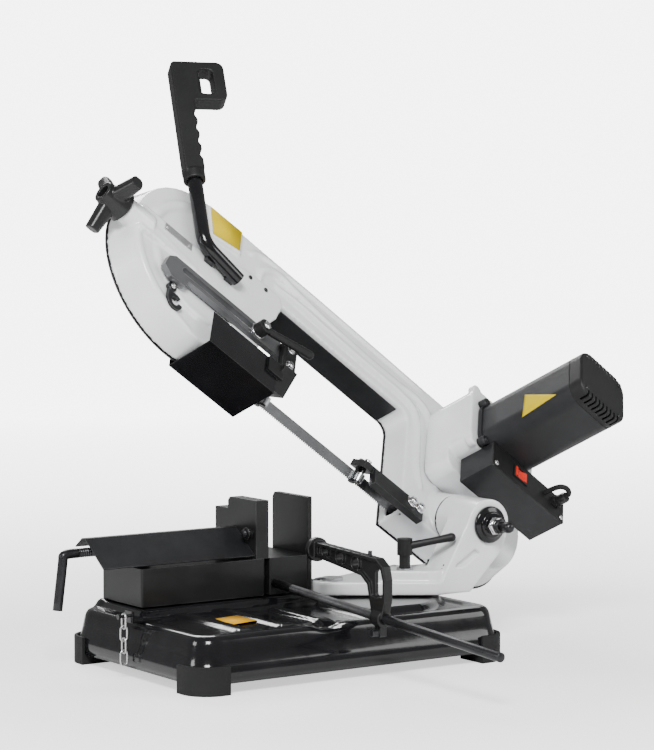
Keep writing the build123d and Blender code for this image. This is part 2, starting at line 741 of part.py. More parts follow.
def drive_wheel():
    """Wheel pressed on the driven spindle."""
    return band_wheel((DRIVE_U, WHEEL_V), 12.5)


def idler_wheel():
    """Wheel that turns on its bearings at the tension end."""
    return band_wheel((IDLER_U, WHEEL_V), 21)


def idler_bearings():
    """Bearing sleeve pressed in the idler wheel."""
    return tube((IDLER_U, WHEEL_V, -11), (IDLER_U, WHEEL_V, 4), 21, 10 + RUN)


def tension_block():
    """Sliding block with the idler spindle and a threaded hole for the tension screw."""
    body = block(
        (IDLER_U - 34, WHEEL_V - 20 + RUN, 12.5), (IDLER_U + 22, WHEEL_V + 20 - RUN, 29 - RUN)
    )
    spindle = rod((IDLER_U, WHEEL_V, -18), (IDLER_U, WHEEL_V, 14), 10)
    collar = rod((IDLER_U, WHEEL_V, 5), (IDLER_U, WHEEL_V, 13), 15)
    cap = rod((IDLER_U, WHEEL_V, -18), (IDLER_U, WHEEL_V, -12), 14)
    body = body + spindle + collar + cap
    start = (IDLER_U - 40, WHEEL_V, TENSION_W)
    return body - rod(start, (IDLER_U - 12, WHEEL_V, TENSION_W), 5 + 2 * RUN)


def tension_knob():
    """Three-armed knob and its screw."""
    inner_end = IDLER_U - 22
    hub_start = IDLER_U - 177
    hub_end = hub_start - 46
    screw = rod((hub_end + 10, WHEEL_V, TENSION_W), (inner_end, WHEEL_V, TENSION_W), 5)
    hub = loft(
        [
            Plane(origin=(hub_start, WHEEL_V, TENSION_W), z_dir=(-1, 0, 0)).location * Circle(27),
            Plane(origin=(hub_end, WHEEL_V, TENSION_W), z_dir=(-1, 0, 0)).location * Circle(18),
        ]
    )
    knob = hub + screw
    for degrees_ in (-25, 95, 215):
        angle = radians(degrees_)
        dv, dw = cos(angle), sin(angle)
        root = Plane(
            origin=(hub_start - 24, WHEEL_V + 12 * dv, TENSION_W + 12 * dw),
            x_dir=(1, 0, 0),
            z_dir=(0, dv, dw),
        )
        tip = Plane(
            origin=(hub_start - 26, WHEEL_V + 62 * dv, TENSION_W + 62 * dw),
            x_dir=(1, 0, 0),
            z_dir=(0, dv, dw),
        )
        arm_part = loft(
            [root.location * RectangleRounded(30, 24, 9), tip.location * RectangleRounded(22, 22, 8)]
        )
        knob = knob + arm_part
    bore = rod((hub_end - 1, WHEEL_V, TENSION_W), (hub_end + 14, WHEEL_V, TENSION_W), 11)
    return knob - bore


# ---- bow: blade ----
def blade_station(u, twist):
    """Cross-section frame of the band's cutting run, on its centre line."""
    angle = radians(twist)
    across = Vector(0, sin(angle), cos(angle))
    return Plane(origin=(u, 0, 0), x_dir=across, z_dir=(1, 0, 0))


def blade():
    """Endless band: round both wheels, straight through the beam, twisted upright between guides."""
    half = BAND_WIDTH / 2
    mid = WHEEL_V
    inner = WHEEL_R + BAND_GAP
    outer = inner + BAND_THICK
    loops = []
    for centre, sign in ((IDLER_U, -1), (DRIVE_U, 1)):
        ring = tube((centre, mid, -half), (centre, mid, half), outer, inner)
        if sign < 0:
            keep = block((centre - 200, mid - 200, -20), (centre, mid + 200, 20))
        else:
            keep = block((centre, mid - 200, -20), (centre + 200, mid + 200, 20))
        loops.append(ring & keep)
    top = block((IDLER_U, mid + inner, -half), (DRIVE_U, mid + outer, half))
    turn = 90 - CANT
    flat = 28.0
    steps = 8
    first, second = IDLER_U + flat, MOVING_GUIDE_U - 20
    third, last = FIXED_GUIDE_U + 20, DRIVE_U - flat
    marks = (
        [(IDLER_U, 0), (first, 0)],
        [(first + (second - first) * i / steps, turn * i / steps) for i in range(steps + 1)],
        [(second, turn), (third, turn)],
        [(third + (last - third) * i / steps, turn * (steps - i) / steps) for i in range(steps + 1)],
        [(last, 0), (DRIVE_U, 0)],
    )
    band = loops[0] + loops[1] + top
    for run in marks:
        sections = [
            blade_station(u, twist).location * Rectangle(BAND_WIDTH, BAND_THICK)
            for u, twist in run
        ]
        band = band + loft(sections, ruled=True)
    return band


# ---- bow: guides ----
BAR_V = 84.0
BAR_HALF = 16.0
BAR_W = CASE_FRONT + 8.5
BAR_THICK = 10.0
BAR_END = 22.0
CLAMP = (-67.0, BAR_V)
SLOT_HALF = 7.0
GUARD_FRONT = 51.0
ROLLER_R = 8.0
ROLLER_OFFSET = ROLLER_R + BAND_THICK / 2 + RUN
ROLLER_PIN_R = 4.0


def bar_supports():
    """Two pads on the casting that the guide bar slides over, with the clamp stud."""
    low, high = BAR_V - BAR_HALF - 3, BAR_V + BAR_HALF + 3
    right = block((-118, low, CASE_FRONT - 2), (-50, high, BAR_W - RUN))
    left = block((-270, low + 8, CASE_FRONT - 2), (-238, high - 8, BAR_W - RUN))
    stud = rod((*CLAMP, CASE_FRONT), (*CLAMP, BAR_W + BAR_THICK + 13), SLOT_HALF - RUN)
    return right + left + stud


def guide_bar():
    """Slotted bar that carries the moving guide, with a cranked left end."""
    low, high = BAR_V - BAR_HALF, BAR_V + BAR_HALF
    bar = block((-262, low, BAR_W), (BAR_END, high, BAR_W + BAR_THICK))
    head = [(-262, low), (-262, high), (-276, high - 10), (-283, low - 2)]
    head += [(-266, low - 16), (-234, low - 16), (-228, low)]
    bar = bar + polygon(head, Plane.XY.offset(BAR_W), BAR_THICK)
    slot = Pos(-150, BAR_V, 0) * SlotOverall(190, 2 * SLOT_HALF)
    return bar - extrude(slot, 80)


def guide_clamp_lever():
    """Clamping lever on the guide bar's stud."""
    start = BAR_W + BAR_THICK + RUN
    hub = rod((*CLAMP, start), (*CLAMP, start + 20), 13)
    grip = loft(
        [
            Plane(origin=(CLAMP[0] + 6, CLAMP[1], start + 13), z_dir=(1, -0.1, 0.3)).location
            * Circle(6),
            Plane(origin=(CLAMP[0] + 88, CLAMP[1] - 8, start + 37), z_dir=(1, -0.1, 0.3)).location
            * Circle(7.5),
        ]
    )
    knob = Pos(CLAMP[0] + 88, CLAMP[1] - 8, start + 37) * Sphere(7.6)
    return hub + grip + knob - rod((*CLAMP, 0), (*CLAMP, start + 14), SLOT_HALF)


def guard_box():
    """Folded sheet channel round the band between the idler case and the moving guide."""
    left, right = -172.0, -20.0
    bottom, back = -27.0, -42.0
    thick = 1.5
    guard = block((left, bottom, back), (right, bottom + thick, GUARD_FRONT))
    guard = guard + block((left, bottom, GUARD_FRONT - thick), (right, 40, GUARD_FRONT))
    return guard + block((left, bottom, back), (right, -8, back + thick))


def guide_head(u):
    """Cross plate over the band with two roller pins and a back pad, in the cutting plane."""
    head = block((u - 14, 18, -16), (u + 14, 30, 24))
    head = head + block((u - 6, BAND_WIDTH / 2 + 0.3, -3), (u + 6, 18, 3))
    for side in (-1, 1):
        n = side * ROLLER_OFFSET
        pin = rod((u, -5, n), (u, 20, n), ROLLER_PIN_R) + rod((u, -8, n), (u, -5, n), 5.5)
        head = head + pin
    return cut_plane(head)


def guide_roller(u, side):
    """Roller beside the band, its axis across the band's width."""
    n = side * ROLLER_OFFSET
    start, end = (u, -4.8, n), (u, 9.6, n)
    return cut_plane(tube(start, end, ROLLER_R, ROLLER_PIN_R + RUN))


def moving_guide():
    """Bracket bolted to the bar: hangs down to the band and holds the guard's end."""
    front = BAR_W + BAR_THICK
    upper = block((-14, 30, front), (16, BAR_V + 12, front + 12))
    tab = block((-44, 8, GUARD_FRONT), (-14, 38, GUARD_FRONT + 5))
    hanger = cut_plane(block((-14, 18, 18), (14, 66, 32)))
    return bow(upper) + bow(tab + block((-16, 8, GUARD_FRONT), (-10, 60, GUARD_FRONT + 5))) + (
        hanger + guide_head(MOVING_GUIDE_U)
    )


def fixed_guide():
    """Bar on the casting's front that holds the second pair of rollers."""
    bar = block((FIXED_GUIDE_U + 8, -24, CASE_FRONT), (366, 8, CASE_FRONT + 14))
    return bow(bar) + guide_head(FIXED_GUIDE_U)


def fixed_guide_bolts():
    """Two hexagon bolts through the fixed guide's bar."""
    bolts = []
    for u in (336, 356):
        head = extrude(Pos(u, -1, CASE_FRONT + 14) * RegularPolygon(6.5, 6), 6)
        bolts.append(head)
    return bolts


# ---- bow: motor and controls ----
CAP_START = 330.0


def motor_body():
    """Motor shell with a round room for the stator."""
    shell = rounded_prism(MOTOR, MOTOR_SIZE, MOTOR_START, CAP_START, 30)
    shell = shell - rod((*MOTOR, MOTOR_START + 4), (*MOTOR, CAP_START), 46)
    return shell - rod((*MOTOR, MOTOR_START), (*MOTOR, MOTOR_START + 5), 12)


def motor_stator():
    """Wound stator ring."""
    return tube((*MOTOR, 178), (*MOTOR, 292), 46, 27)


def motor_end_cap():
    """End cover with cooling slots across both long edges."""
    cap = rounded_prism(MOTOR, MOTOR_SIZE, CAP_START, MOTOR_END, 30)
    cap = fillet(cap.faces().sort_by(Axis.Z)[-1].edges(), 5)
    cap = cap - rod((*MOTOR, CAP_START), (*MOTOR, MOTOR_END - 6), 42)
    half = MOTOR_SIZE[1] / 2
    for i in range(-4, 5):
        for side in (-1, 1):
            slot = Pos(MOTOR[0] + 10 * i, MOTOR[1] + side * (half - 4), MOTOR_END - 8) * Box(4, 18, 20)
            cap = cap - slot
    return cap


BOX_LOW = (406.0, 72.0, 83.0)
BOX_HIGH = (599.0, 124.0, 158.0)
BOX_SHEET = 2.0
ROCKER = (478.0, 98.0)


def control_box():
    """Open-fronted sheet box under the motor."""
    outer = block(BOX_LOW, (BOX_HIGH[0], BOX_HIGH[1], BOX_HIGH[2] - 3))
    low = [c + BOX_SHEET for c in BOX_LOW]
    room = block(low, (BOX_HIGH[0] - BOX_SHEET, BOX_HIGH[1] - BOX_SHEET, BOX_HIGH[2]))
    return outer - room


def control_lid():
    """Front plate of the control box with the opening for the switch."""
    lid = block((BOX_LOW[0], BOX_LOW[1], BOX_HIGH[2] - 3), BOX_HIGH)
    opening = block(
        (ROCKER[0] - 15, ROCKER[1] - 11, BOX_HIGH[2] - 4), (ROCKER[0] + 15, ROCKER[1] + 11, 170)
    )
    screws = [
        rod((u, v, BOX_HIGH[2]), (u, v, BOX_HIGH[2] + 2.5), 4)
        for u in (BOX_LOW[0] + 8, BOX_HIGH[0] - 8)
        for v in (BOX_LOW[1] + 8, BOX_HIGH[1] - 8)
        if v < 100 or u > 500
    ]
    lid = lid - opening
    for screw in screws:
        lid = lid + screw
    return lid


def rocker_switch():
    """Rocker in the lid's opening."""
    z = BOX_HIGH[2] - 4
    cap = block((ROCKER[0] - 14, ROCKER[1] - 10, z - 6), (ROCKER[0] + 14, ROCKER[1] + 10, z + 8))
    trim = rod((ROCKER[0], ROCKER[1] - 20, z + 20), (ROCKER[0], ROCKER[1] + 20, z + 20), 15.5)
    pins = rod((ROCKER[0], ROCKER[1] - 12, z - 2), (ROCKER[0], ROCKER[1] + 12, z - 2), 2)
    return cap - trim + pins


def cable_gland():
    """Gland and stub of cable on the lid."""
    place = (BOX_HIGH[0] - 26, 102)
    base = rod((*place, BOX_HIGH[2]), (*place, BOX_HIGH[2] + 10), 11)
    return base + rod((*place, BOX_HIGH[2] + 10), (*place, BOX_HIGH[2] + 26), 8)


# ---- bow: handle ----
TUBE_R = 12.5
TUBE_W = 46.0
TUBE_END = (-127.0, 156.0)
TUBE_BEND = (-212.0, 172.0)
GRIP_LEAN = 19.0
GRIP_TWIST = 35.0
GRIP_LOW = 137.0
GRIP_HIGH = 368.0
GRIP_HALF = 17.0
GRIP_THICK = 30.0
RISE = Vector(-sin(radians(GRIP_LEAN)), cos(radians(GRIP_LEAN)), 0)
ACROSS = Vector(cos(radians(GRIP_LEAN)), sin(radians(GRIP_LEAN)), 0) * cos(radians(GRIP_TWIST))
ACROSS = ACROSS + Vector(0, 0, 1) * sin(radians(GRIP_TWIST))
GRIP = Plane(origin=(*TUBE_BEND, TUBE_W), x_dir=ACROSS, z_dir=ACROSS.cross(RISE))


def handle_tube():
    """Bent round tube on two pads, cut square at its lower end."""
    start = Vector(*TUBE_END, TUBE_W)
    bend = Vector(*TUBE_BEND, TUBE_W)
    end = bend + RISE * 285
    path = FilletPolyline(start, bend, end, radius=36)
    section = Plane(origin=path @ 0, z_dir=path % 0)
    bar = sweep(section * Circle(TUBE_R), path=path)
    pads = block((-148, 148, CASE_FRONT), (-130, 168, TUBE_W - 4))
    pads = pads + block((-196, 152, CASE_FRONT + 8), (-178, 168, TUBE_W - 4))
    return (bar + pads) - sweep(section * Circle(TUBE_R - 2), path=path)


def handle_grip():
    """Moulded grip: finger-grooved stem with a closed guard at its top."""
    stem = Pos(0, (GRIP_LOW + GRIP_HIGH) / 2) * RectangleRounded(
        2 * GRIP_HALF, GRIP_HIGH - GRIP_LOW, 8
    )
    guard = Pos(31, GRIP_HIGH - 41) * RectangleRounded(90, 82, 14)
    window = Pos(42, GRIP_HIGH - 42) * RectangleRounded(26, 52, 8)
    face = stem + guard - window
    for s in (GRIP_LOW + 36, GRIP_LOW + 64, GRIP_LOW + 92, GRIP_LOW + 120):
        face = face - Pos(GRIP_HALF + 9, s) * Circle(13)
    grip = extrude(face, amount=GRIP_THICK / 2, both=True)
    bore = rod((0, 0, 0), (0, 285, 0), TUBE_R)
    collar = rod((0, GRIP_LOW - 12, 0), (0, GRIP_LOW + 6, 0), 19)
    pocket = block((2, GRIP_HIGH - 60, -6), (GRIP_HALF + 20, GRIP_HIGH - 26, 6))
    return GRIP.location * (grip + collar - bore - pocket)


def trigger():
    """Trigger that slides into the stem."""
    low, high = GRIP_HIGH - 60 + 2 * RUN, GRIP_HIGH - 26 - 2 * RUN
    body = block((9, low, -6 + RUN), (GRIP_HALF + 17, high, 6 - RUN))
    return GRIP.location * body


def chain_hook():
    """Open hook bolted to the idler case."""
    centre = (-240.0, 20.0)
    low = CASE_FRONT
    ring = tube((*centre, low), (*centre, low + 7), 16, 8)
    ring = ring - block((-236, 20, 0), (-200, 32, 60))
    stem = block((-256, 20, low), (-247, 44, low + 7))
    boss = rod((-250, 46, low), (-250, 46, low + 7), 9)
    return ring + stem + boss


def name_plate():
    """Plain plate held by two screws."""
    plate = block((-288, 150, BOX_RISE), (-226, 165, BOX_RISE + 1.5))
    for u in (-283, -231):
        plate = plate + rod((u, 157.5, BOX_RISE), (u, 157.5, BOX_RISE + 3), 3)
    return plate


# ---- write every sub-part ----
BASE_SHAPES = {
    "base_tray": (base_tray, BLACK),
    "rubber_feet": (rubber_feet, (0.03, 0.03, 0.03)),
    "chain_anchor": (chain_anchor, BLACK),
    "chain": (chain, STEEL),
    "vise_body": (vise_body, BLACK),
    "vise_nut": (vise_nut, STEEL),
    "vise_cover": (vise_cover, GREY),
    "movable_jaw": (movable_jaw, BLACK),
    "vise_screw": (vise_screw, BLACK),
    "bed_block": (bed_block, BLACK),
    "fixed_jaw": (fixed_jaw, GREY),
    "stop_rod": (stop_rod, GREY),
    "stop_arm": (stop_arm, BLACK),
    "stop_screw": (stop_screw, BLACK),
    "turret_pin": (turret_pin, STEEL),
    "swivel_bracket": (swivel_bracket, WHITE),
    "hinge_bushes": (hinge_bushes, (0.7, 0.55, 0.25)),
    "return_spring": (return_spring, STEEL),
    "turret_lock_stud": (turret_lock_stud, STEEL),
    "turret_lock_lever": (turret_lock_lever, BLACK),
    "hinge_shaft": (hinge_shaft, STEEL),
    "hinge_washer": (hinge_washer, BLACK),
    "hinge_nut": (hinge_nut, STEEL),
    "hinge_seal": (hinge_seal, BLACK),
}
BOW_SHAPES = {
    "bow_casting": (bow_casting, WHITE),
    "rear_cover": (rear_cover, GREY),
    "cover_screws": (cover_screws, BLACK),
    "gear_housing": (gear_housing, WHITE),
    "motor_rotor": (motor_rotor, STEEL),
    "intermediate_gear": (intermediate_gear, STEEL),
    "drive_shaft": (drive_shaft, STEEL),
    "drive_bearings": (drive_bearings, STEEL),
    "drive_wheel": (drive_wheel, GREY),
    "idler_wheel": (idler_wheel, GREY),
    "idler_bearings": (idler_bearings, STEEL),
    "tension_block": (tension_block, STEEL),
    "tension_knob": (tension_knob, BLACK),
    "blade": (blade, STEEL),
    "guide_bar": (guide_bar, GREY),
    "guide_clamp_lever": (guide_clamp_lever, BLACK),
    "guard_box": (guard_box, BLACK),
    "fixed_guide_bolts": (fixed_guide_bolts, STEEL),
    "motor_body": (motor_body, GREY),
    "motor_stator": (motor_stator, STEEL),
    "motor_end_cap": (motor_end_cap, GREY),
    "control_box": (control_box, BLACK),
    "control_lid": (control_lid, BLACK),
    "rocker_switch": (rocker_switch, (0.8, 0.1, 0.05)),
    "cable_gland": (cable_gland, BLACK),
    "handle_tube": (handle_tube, BLACK),
    "handle_grip": (handle_grip, BLACK),
    "trigger": (trigger, BLACK),
    "chain_hook": (chain_hook, BLACK),
    "name_plate": (name_plate, STEEL),
}
for name, (build, colour) in BASE_SHAPES.items():
    save(name, build(), colour)
for name, (build, colour) in BOW_SHAPES.items():
    save(name, bow(build()), colour)
save("moving_guide", moving_guide(), GREY)
save("fixed_guide", fixed_guide(), BLACK)
for title, u in (("moving", MOVING_GUIDE_U), ("fixed", FIXED_GUIDE_U)):
    for place, side in (("front", 1), ("rear", -1)):
        save(f"{title}_guide_{place}_roller", guide_roller(u, side), STEEL)
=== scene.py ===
import json
import math

import bmesh
import bpy
from mathutils import Matrix, Vector
from mathutils.bvhtree import BVHTree


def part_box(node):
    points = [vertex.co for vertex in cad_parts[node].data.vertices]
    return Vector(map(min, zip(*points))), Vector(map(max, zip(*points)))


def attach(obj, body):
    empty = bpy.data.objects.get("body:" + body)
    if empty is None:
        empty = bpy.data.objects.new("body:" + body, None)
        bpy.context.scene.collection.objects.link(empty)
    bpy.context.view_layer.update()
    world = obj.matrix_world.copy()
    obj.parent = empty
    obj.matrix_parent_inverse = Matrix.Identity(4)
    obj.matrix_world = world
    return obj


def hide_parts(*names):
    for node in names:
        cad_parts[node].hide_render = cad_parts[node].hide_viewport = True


# Looks for a horizontal band saw. Shapes are drawn in millimetres, and add() turns them into
# metres. The bow has axes of its own: u runs along the band from the idler to the drive, v goes
# across it, away from the cut, and w comes out of the cases' front face.

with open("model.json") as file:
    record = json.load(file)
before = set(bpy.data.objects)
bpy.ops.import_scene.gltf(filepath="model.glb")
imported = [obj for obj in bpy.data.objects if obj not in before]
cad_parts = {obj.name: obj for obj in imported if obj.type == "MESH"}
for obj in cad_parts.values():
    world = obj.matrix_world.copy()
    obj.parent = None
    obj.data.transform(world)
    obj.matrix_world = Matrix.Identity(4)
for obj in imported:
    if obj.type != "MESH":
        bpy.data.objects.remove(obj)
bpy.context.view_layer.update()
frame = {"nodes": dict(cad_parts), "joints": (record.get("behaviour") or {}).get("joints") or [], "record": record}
NODES = frame["nodes"]
JOINTS = {j["name"]: j for j in frame["joints"]}
MM = 0.001

# ---- the bow's own axes, from the joints ----
ALONG = Vector(JOINTS["tension_slide"]["axis"])
OUT = Vector(JOINTS["drive_spin"]["axis"])
ACROSS = OUT.cross(ALONG)
UPRIGHT = Vector(JOINTS["fixed_front_roller_spin"]["axis"])
GUIDE_FRONT = Vector(JOINTS["moving_front_roller_spin"]["pos_m"])
GUIDE_REAR = Vector(JOINTS["moving_rear_roller_spin"]["pos_m"])
ORIGIN = (GUIDE_FRONT + GUIDE_REAR) / 2
BOW = Matrix.Translation(ORIGIN) @ Matrix((ALONG, ACROSS, OUT)).transposed().to_4x4()
SAW = Matrix.Identity(4)
TO_BOW = BOW.inverted()
FROM_BOW = Matrix.Translation(ORIGIN / MM) @ BOW.to_3x3().to_4x4()


def in_mm(point):
    """A point in metres, such as a joint's position, in millimetres."""
    return Vector(point) / MM


def in_bow(point):
    """A point of the saw's frame, in metres, as bow millimetres."""
    return (TO_BOW @ Vector(point)) / MM


def joint_spot(name):
    """Where a joint turns, in millimetres of the saw's frame."""
    return in_mm(JOINTS[name]["pos_m"])


def joint_in_bow(name):
    """Where a joint turns, in bow millimetres."""
    return in_bow(JOINTS[name]["pos_m"])


def bow_box(node):
    """Lowest and highest corners of a CAD node, in bow millimetres, to a micron."""
    points = [in_bow(vertex.co) for vertex in NODES[node].data.vertices]
    return [Vector([round(pick(p[i] for p in points), 3) for i in range(3)]) for pick in (min, max)]


DRIVE_U, WHEEL_V, _ = joint_in_bow("drive_spin")
IDLER_U = joint_in_bow("idler_spin").x
MOTOR = joint_in_bow("rotor_spin")
WHEEL_R = 142.0
# The gear case stands on the bow's front face.
CASE_FRONT = bow_box("gear_housing")[0].z
# Radius that closes a turned profile at its axis.
NEAR_AXIS = 0.01


# ---- finishes ----
def new_node(tree, kind, **settings):
    """One shader node with its inputs or properties set by name."""
    node = tree.nodes.new(kind)
    for key, value in settings.items():
        if key in node.inputs:
            node.inputs[key].default_value = value
        else:
            setattr(node, key, value)
    return node


def noise(tree, coord, scale, detail=3.0, rough=0.55, stretch=None):
    """Noise over the object's own coordinates."""
    node = new_node(tree, "ShaderNodeTexNoise", Scale=scale, Detail=detail, Roughness=rough)
    source = coord.outputs["Object"]
    if stretch:
        mapping = tree.nodes.new("ShaderNodeMapping")
        mapping.inputs["Scale"].default_value = stretch
        tree.links.new(source, mapping.inputs["Vector"])
        source = mapping.outputs["Vector"]
    tree.links.new(source, node.inputs["Vector"])
    return node


def ramp(tree, source, low, high, start=0.0, end=1.0):
    """Maps a value from one range to another, clamped."""
    node = tree.nodes.new("ShaderNodeMapRange")
    node.inputs["From Min"].default_value = start
    node.inputs["From Max"].default_value = end
    node.inputs["To Min"].default_value = low
    node.inputs["To Max"].default_value = high
    tree.links.new(source, node.inputs["Value"])
    return node.outputs["Result"]


def blend_colour(tree, factor, first, second):
    """Colour mix; first and second are colours or sockets."""
    node = tree.nodes.new("ShaderNodeMix")
    node.data_type = "RGBA"
    tree.links.new(factor, node.inputs["Factor"])
    for value, slot_index in ((first, 6), (second, 7)):
        if isinstance(value, bpy.types.NodeSocket):
            tree.links.new(value, node.inputs[slot_index])
        else:
            node.inputs[slot_index].default_value = (*value, 1.0)
    return node.outputs[2]


def finish(
    name,
    colour,
    rough,
    metal=0.0,
    coat=0.0,
    grain=900.0,
    depth=0.1,
    mottle=0.12,
    waves=0.0,
    edge=None,
    edge_amount=0.5,
    stretch=None,
    painted_crevice_shade=0.0,
    specular=0.5,
):
    """A layered finish: blotchy colour, fine grain bump, uneven gloss, lighter edges that are partly wear and
    partly a painted highlight, and painted shade darkening the corners.
    """
    material = bpy.data.materials.new(name)
    material.use_nodes = True
    tree = material.node_tree
    tree.nodes.clear()
    output = tree.nodes.new("ShaderNodeOutputMaterial")
    shader = tree.nodes.new("ShaderNodeBsdfPrincipled")
    tree.links.new(shader.outputs["BSDF"], output.inputs["Surface"])
    coord = tree.nodes.new("ShaderNodeTexCoord")
    blotch = noise(tree, coord, 14.0, 5.0)
    fine = noise(tree, coord, grain, 4.0, 0.6, stretch)
    dark = tuple(c * (1 - mottle) for c in colour)
    light = tuple(min(1.0, c * (1 + mottle) + 0.002) for c in colour)
    result = blend_colour(tree, ramp(tree, blotch.outputs["Fac"], 0, 1, 0.35, 0.65), dark, light)
    speck = ramp(tree, fine.outputs["Fac"], 0, 0.35, 0.5, 0.8)
    result = blend_colour(tree, speck, result, tuple(c * 0.8 for c in colour))
    if painted_crevice_shade:
        # Painted shade: the colour darkens in corners and crevices, where the ambient occlusion mask is low.
        corners = new_node(tree, "ShaderNodeAmbientOcclusion", samples=4, Distance=0.014)
        factor = ramp(tree, corners.outputs["AO"], painted_crevice_shade, 0.0, 0.15, 0.85)
        result = blend_colour(tree, factor, result, tuple(c * 0.32 for c in colour))
    if edge:
        # Lighter colour on edges: partly paint worn off, partly a painted highlight.
        rounded = new_node(tree, "ShaderNodeBevel", samples=4, Radius=0.0014)
        plain = tree.nodes.new("ShaderNodeNewGeometry")
        dot = new_node(tree, "ShaderNodeVectorMath", operation="DOT_PRODUCT")
        tree.links.new(rounded.outputs["Normal"], dot.inputs[0])
        tree.links.new(plain.outputs["Normal"], dot.inputs[1])
        edge_wear_and_highlight = ramp(tree, dot.outputs["Value"], 1.0, 0.0, 0.86, 0.995)
        patchy = new_node(tree, "ShaderNodeMath", operation="MULTIPLY")
        tree.links.new(edge_wear_and_highlight, patchy.inputs[0])
        tree.links.new(ramp(tree, blotch.outputs["Fac"], 0, edge_amount, 0.38, 0.6), patchy.inputs[1])
        result = blend_colour(tree, patchy.outputs["Value"], result, edge)
    tree.links.new(result, shader.inputs["Base Color"])
    gloss = ramp(tree, fine.outputs["Fac"], rough * 0.8, min(1.0, rough * 1.25), 0.3, 0.7)
    tree.links.new(gloss, shader.inputs["Roughness"])
    shader.inputs["Metallic"].default_value = metal
    shader.inputs["Coat Weight"].default_value = coat
    shader.inputs["Coat Roughness"].default_value = 0.06
    shader.inputs["Specular IOR Level"].default_value = specular
    bump = new_node(tree, "ShaderNodeBump", Strength=depth, Distance=0.0006)
    tree.links.new(fine.outputs["Fac"], bump.inputs["Height"])
    if waves:
        swell = noise(tree, coord, 26.0, 2.0, 0.4)
        soft = new_node(tree, "ShaderNodeBump", Strength=waves, Distance=0.004)
        tree.links.new(swell.outputs["Fac"], soft.inputs["Height"])
        tree.links.new(bump.outputs["Normal"], soft.inputs["Normal"])
        bump = soft
    tree.links.new(bump.outputs["Normal"], shader.inputs["Normal"])
    return material


# Where a finish darkens its corners, that darkening is painted shade; its lighter edges are partly wear and partly
# a painted highlight.
FINISHES = {
    "white_paint": finish(
        "white_paint", (0.84, 0.85, 0.86), 0.24, coat=0.5, grain=700, depth=0.12, mottle=0.025,
        waves=0.05, painted_crevice_shade=0.7,
    ),
    "black_enamel": finish(
        "black_enamel", (0.005, 0.005, 0.006), 0.15, coat=0.35, grain=500, depth=0.05, mottle=0.2,
        specular=0.3, waves=0.12, edge=(0.06, 0.06, 0.06), edge_amount=0.4,
    ),
    "black_casting": finish(
        "black_casting", (0.006, 0.006, 0.0065), 0.38, coat=0.08, specular=0.35, grain=650, depth=0.3,
        mottle=0.25, waves=0.05, edge=(0.13, 0.13, 0.135), edge_amount=0.7,
    ),
    "dark_grey_sheet": finish(
        "dark_grey_sheet", (0.014, 0.0145, 0.016), 0.3, metal=0.2, specular=0.4, grain=420, depth=0.12,
        mottle=0.2, waves=0.05, stretch=(1, 12, 12), edge=(0.25, 0.25, 0.26), edge_amount=0.5,
    ),
    "motor_grey": finish(
        "motor_grey", (0.014, 0.0145, 0.016), 0.42, specular=0.35, grain=1500, depth=0.42, mottle=0.1,
        edge=(0.1, 0.1, 0.105), edge_amount=0.4,
    ),
    "bracket_grey": finish(
        "bracket_grey", (0.17, 0.173, 0.178), 0.36, metal=0.75, grain=520, depth=0.2, mottle=0.14,
        stretch=(9, 1, 9), edge=(0.5, 0.5, 0.5), edge_amount=0.5, painted_crevice_shade=0.5,
    ),
    "machined_steel": finish(
        "machined_steel", (0.55, 0.555, 0.57), 0.26, metal=1.0, grain=800, depth=0.12, mottle=0.1,
        stretch=(1, 9, 9), painted_crevice_shade=0.6,
    ),
    "blackened_steel": finish(
        "blackened_steel", (0.035, 0.035, 0.038), 0.3, metal=0.7, grain=800, depth=0.2, mottle=0.3,
        edge=(0.3, 0.3, 0.31), edge_amount=0.8,
    ),
    "band_steel": finish(
        "band_steel", (0.2, 0.205, 0.21), 0.3, metal=1.0, grain=300, depth=0.12, mottle=0.16,
        stretch=(1, 1, 14),
    ),
    "zinc_steel": finish(
        "zinc_steel", (0.7, 0.7, 0.7), 0.28, metal=1.0, grain=500, depth=0.2, mottle=0.15, painted_crevice_shade=0.5,
    ),
    "bright_chrome": finish(
        "bright_chrome", (0.78, 0.78, 0.79), 0.1, metal=1.0, grain=900, depth=0.03, mottle=0.04,
    ),
    "grey_iron": finish(
        "grey_iron", (0.12, 0.12, 0.125), 0.55, metal=0.6, grain=500, depth=0.5, mottle=0.2,
    ),
    "bronze": finish("bronze", (0.5, 0.34, 0.15), 0.34, metal=1.0, grain=700, depth=0.2),
    "black_rubber": finish(
        "black_rubber", (0.008, 0.008, 0.0085), 0.66, specular=0.3, grain=1100, depth=0.45, mottle=0.2,
    ),
    "matt_black_plastic": finish(
        "matt_black_plastic", (0.007, 0.007, 0.0075), 0.46, specular=0.35, grain=1700, depth=0.35,
        mottle=0.12,
    ),
    "gloss_black_plastic": finish(
        "gloss_black_plastic", (0.008, 0.008, 0.0085), 0.34, coat=0.06, specular=0.4, grain=1200, depth=0.18,
        mottle=0.15, waves=0.04,
    ),
    "red_plastic": finish("red_plastic", (0.62, 0.03, 0.015), 0.25, coat=0.4, depth=0.04),
    "plate_aluminium": finish(
        "plate_aluminium", (0.6, 0.6, 0.61), 0.3, metal=0.8, grain=700, stretch=(1, 12, 12),
    ),
    "yellow_label": finish("yellow_label", (0.68, 0.5, 0.0), 0.5, depth=0.03, mottle=0.03, specular=0.1),
    "amber_label": finish("amber_label", (0.72, 0.36, 0.0), 0.5, depth=0.03, mottle=0.03, specular=0.1),
    # Near-black finish, used as painted shade for a gap.
    "painted_gap_shade": finish("painted_gap_shade", (0.006, 0.006, 0.006), 0.8, grain=900, depth=0.1),
}
NODE_SLOTS = {s["node"]: s["material_slot"] for s in frame["record"]["subparts"]}


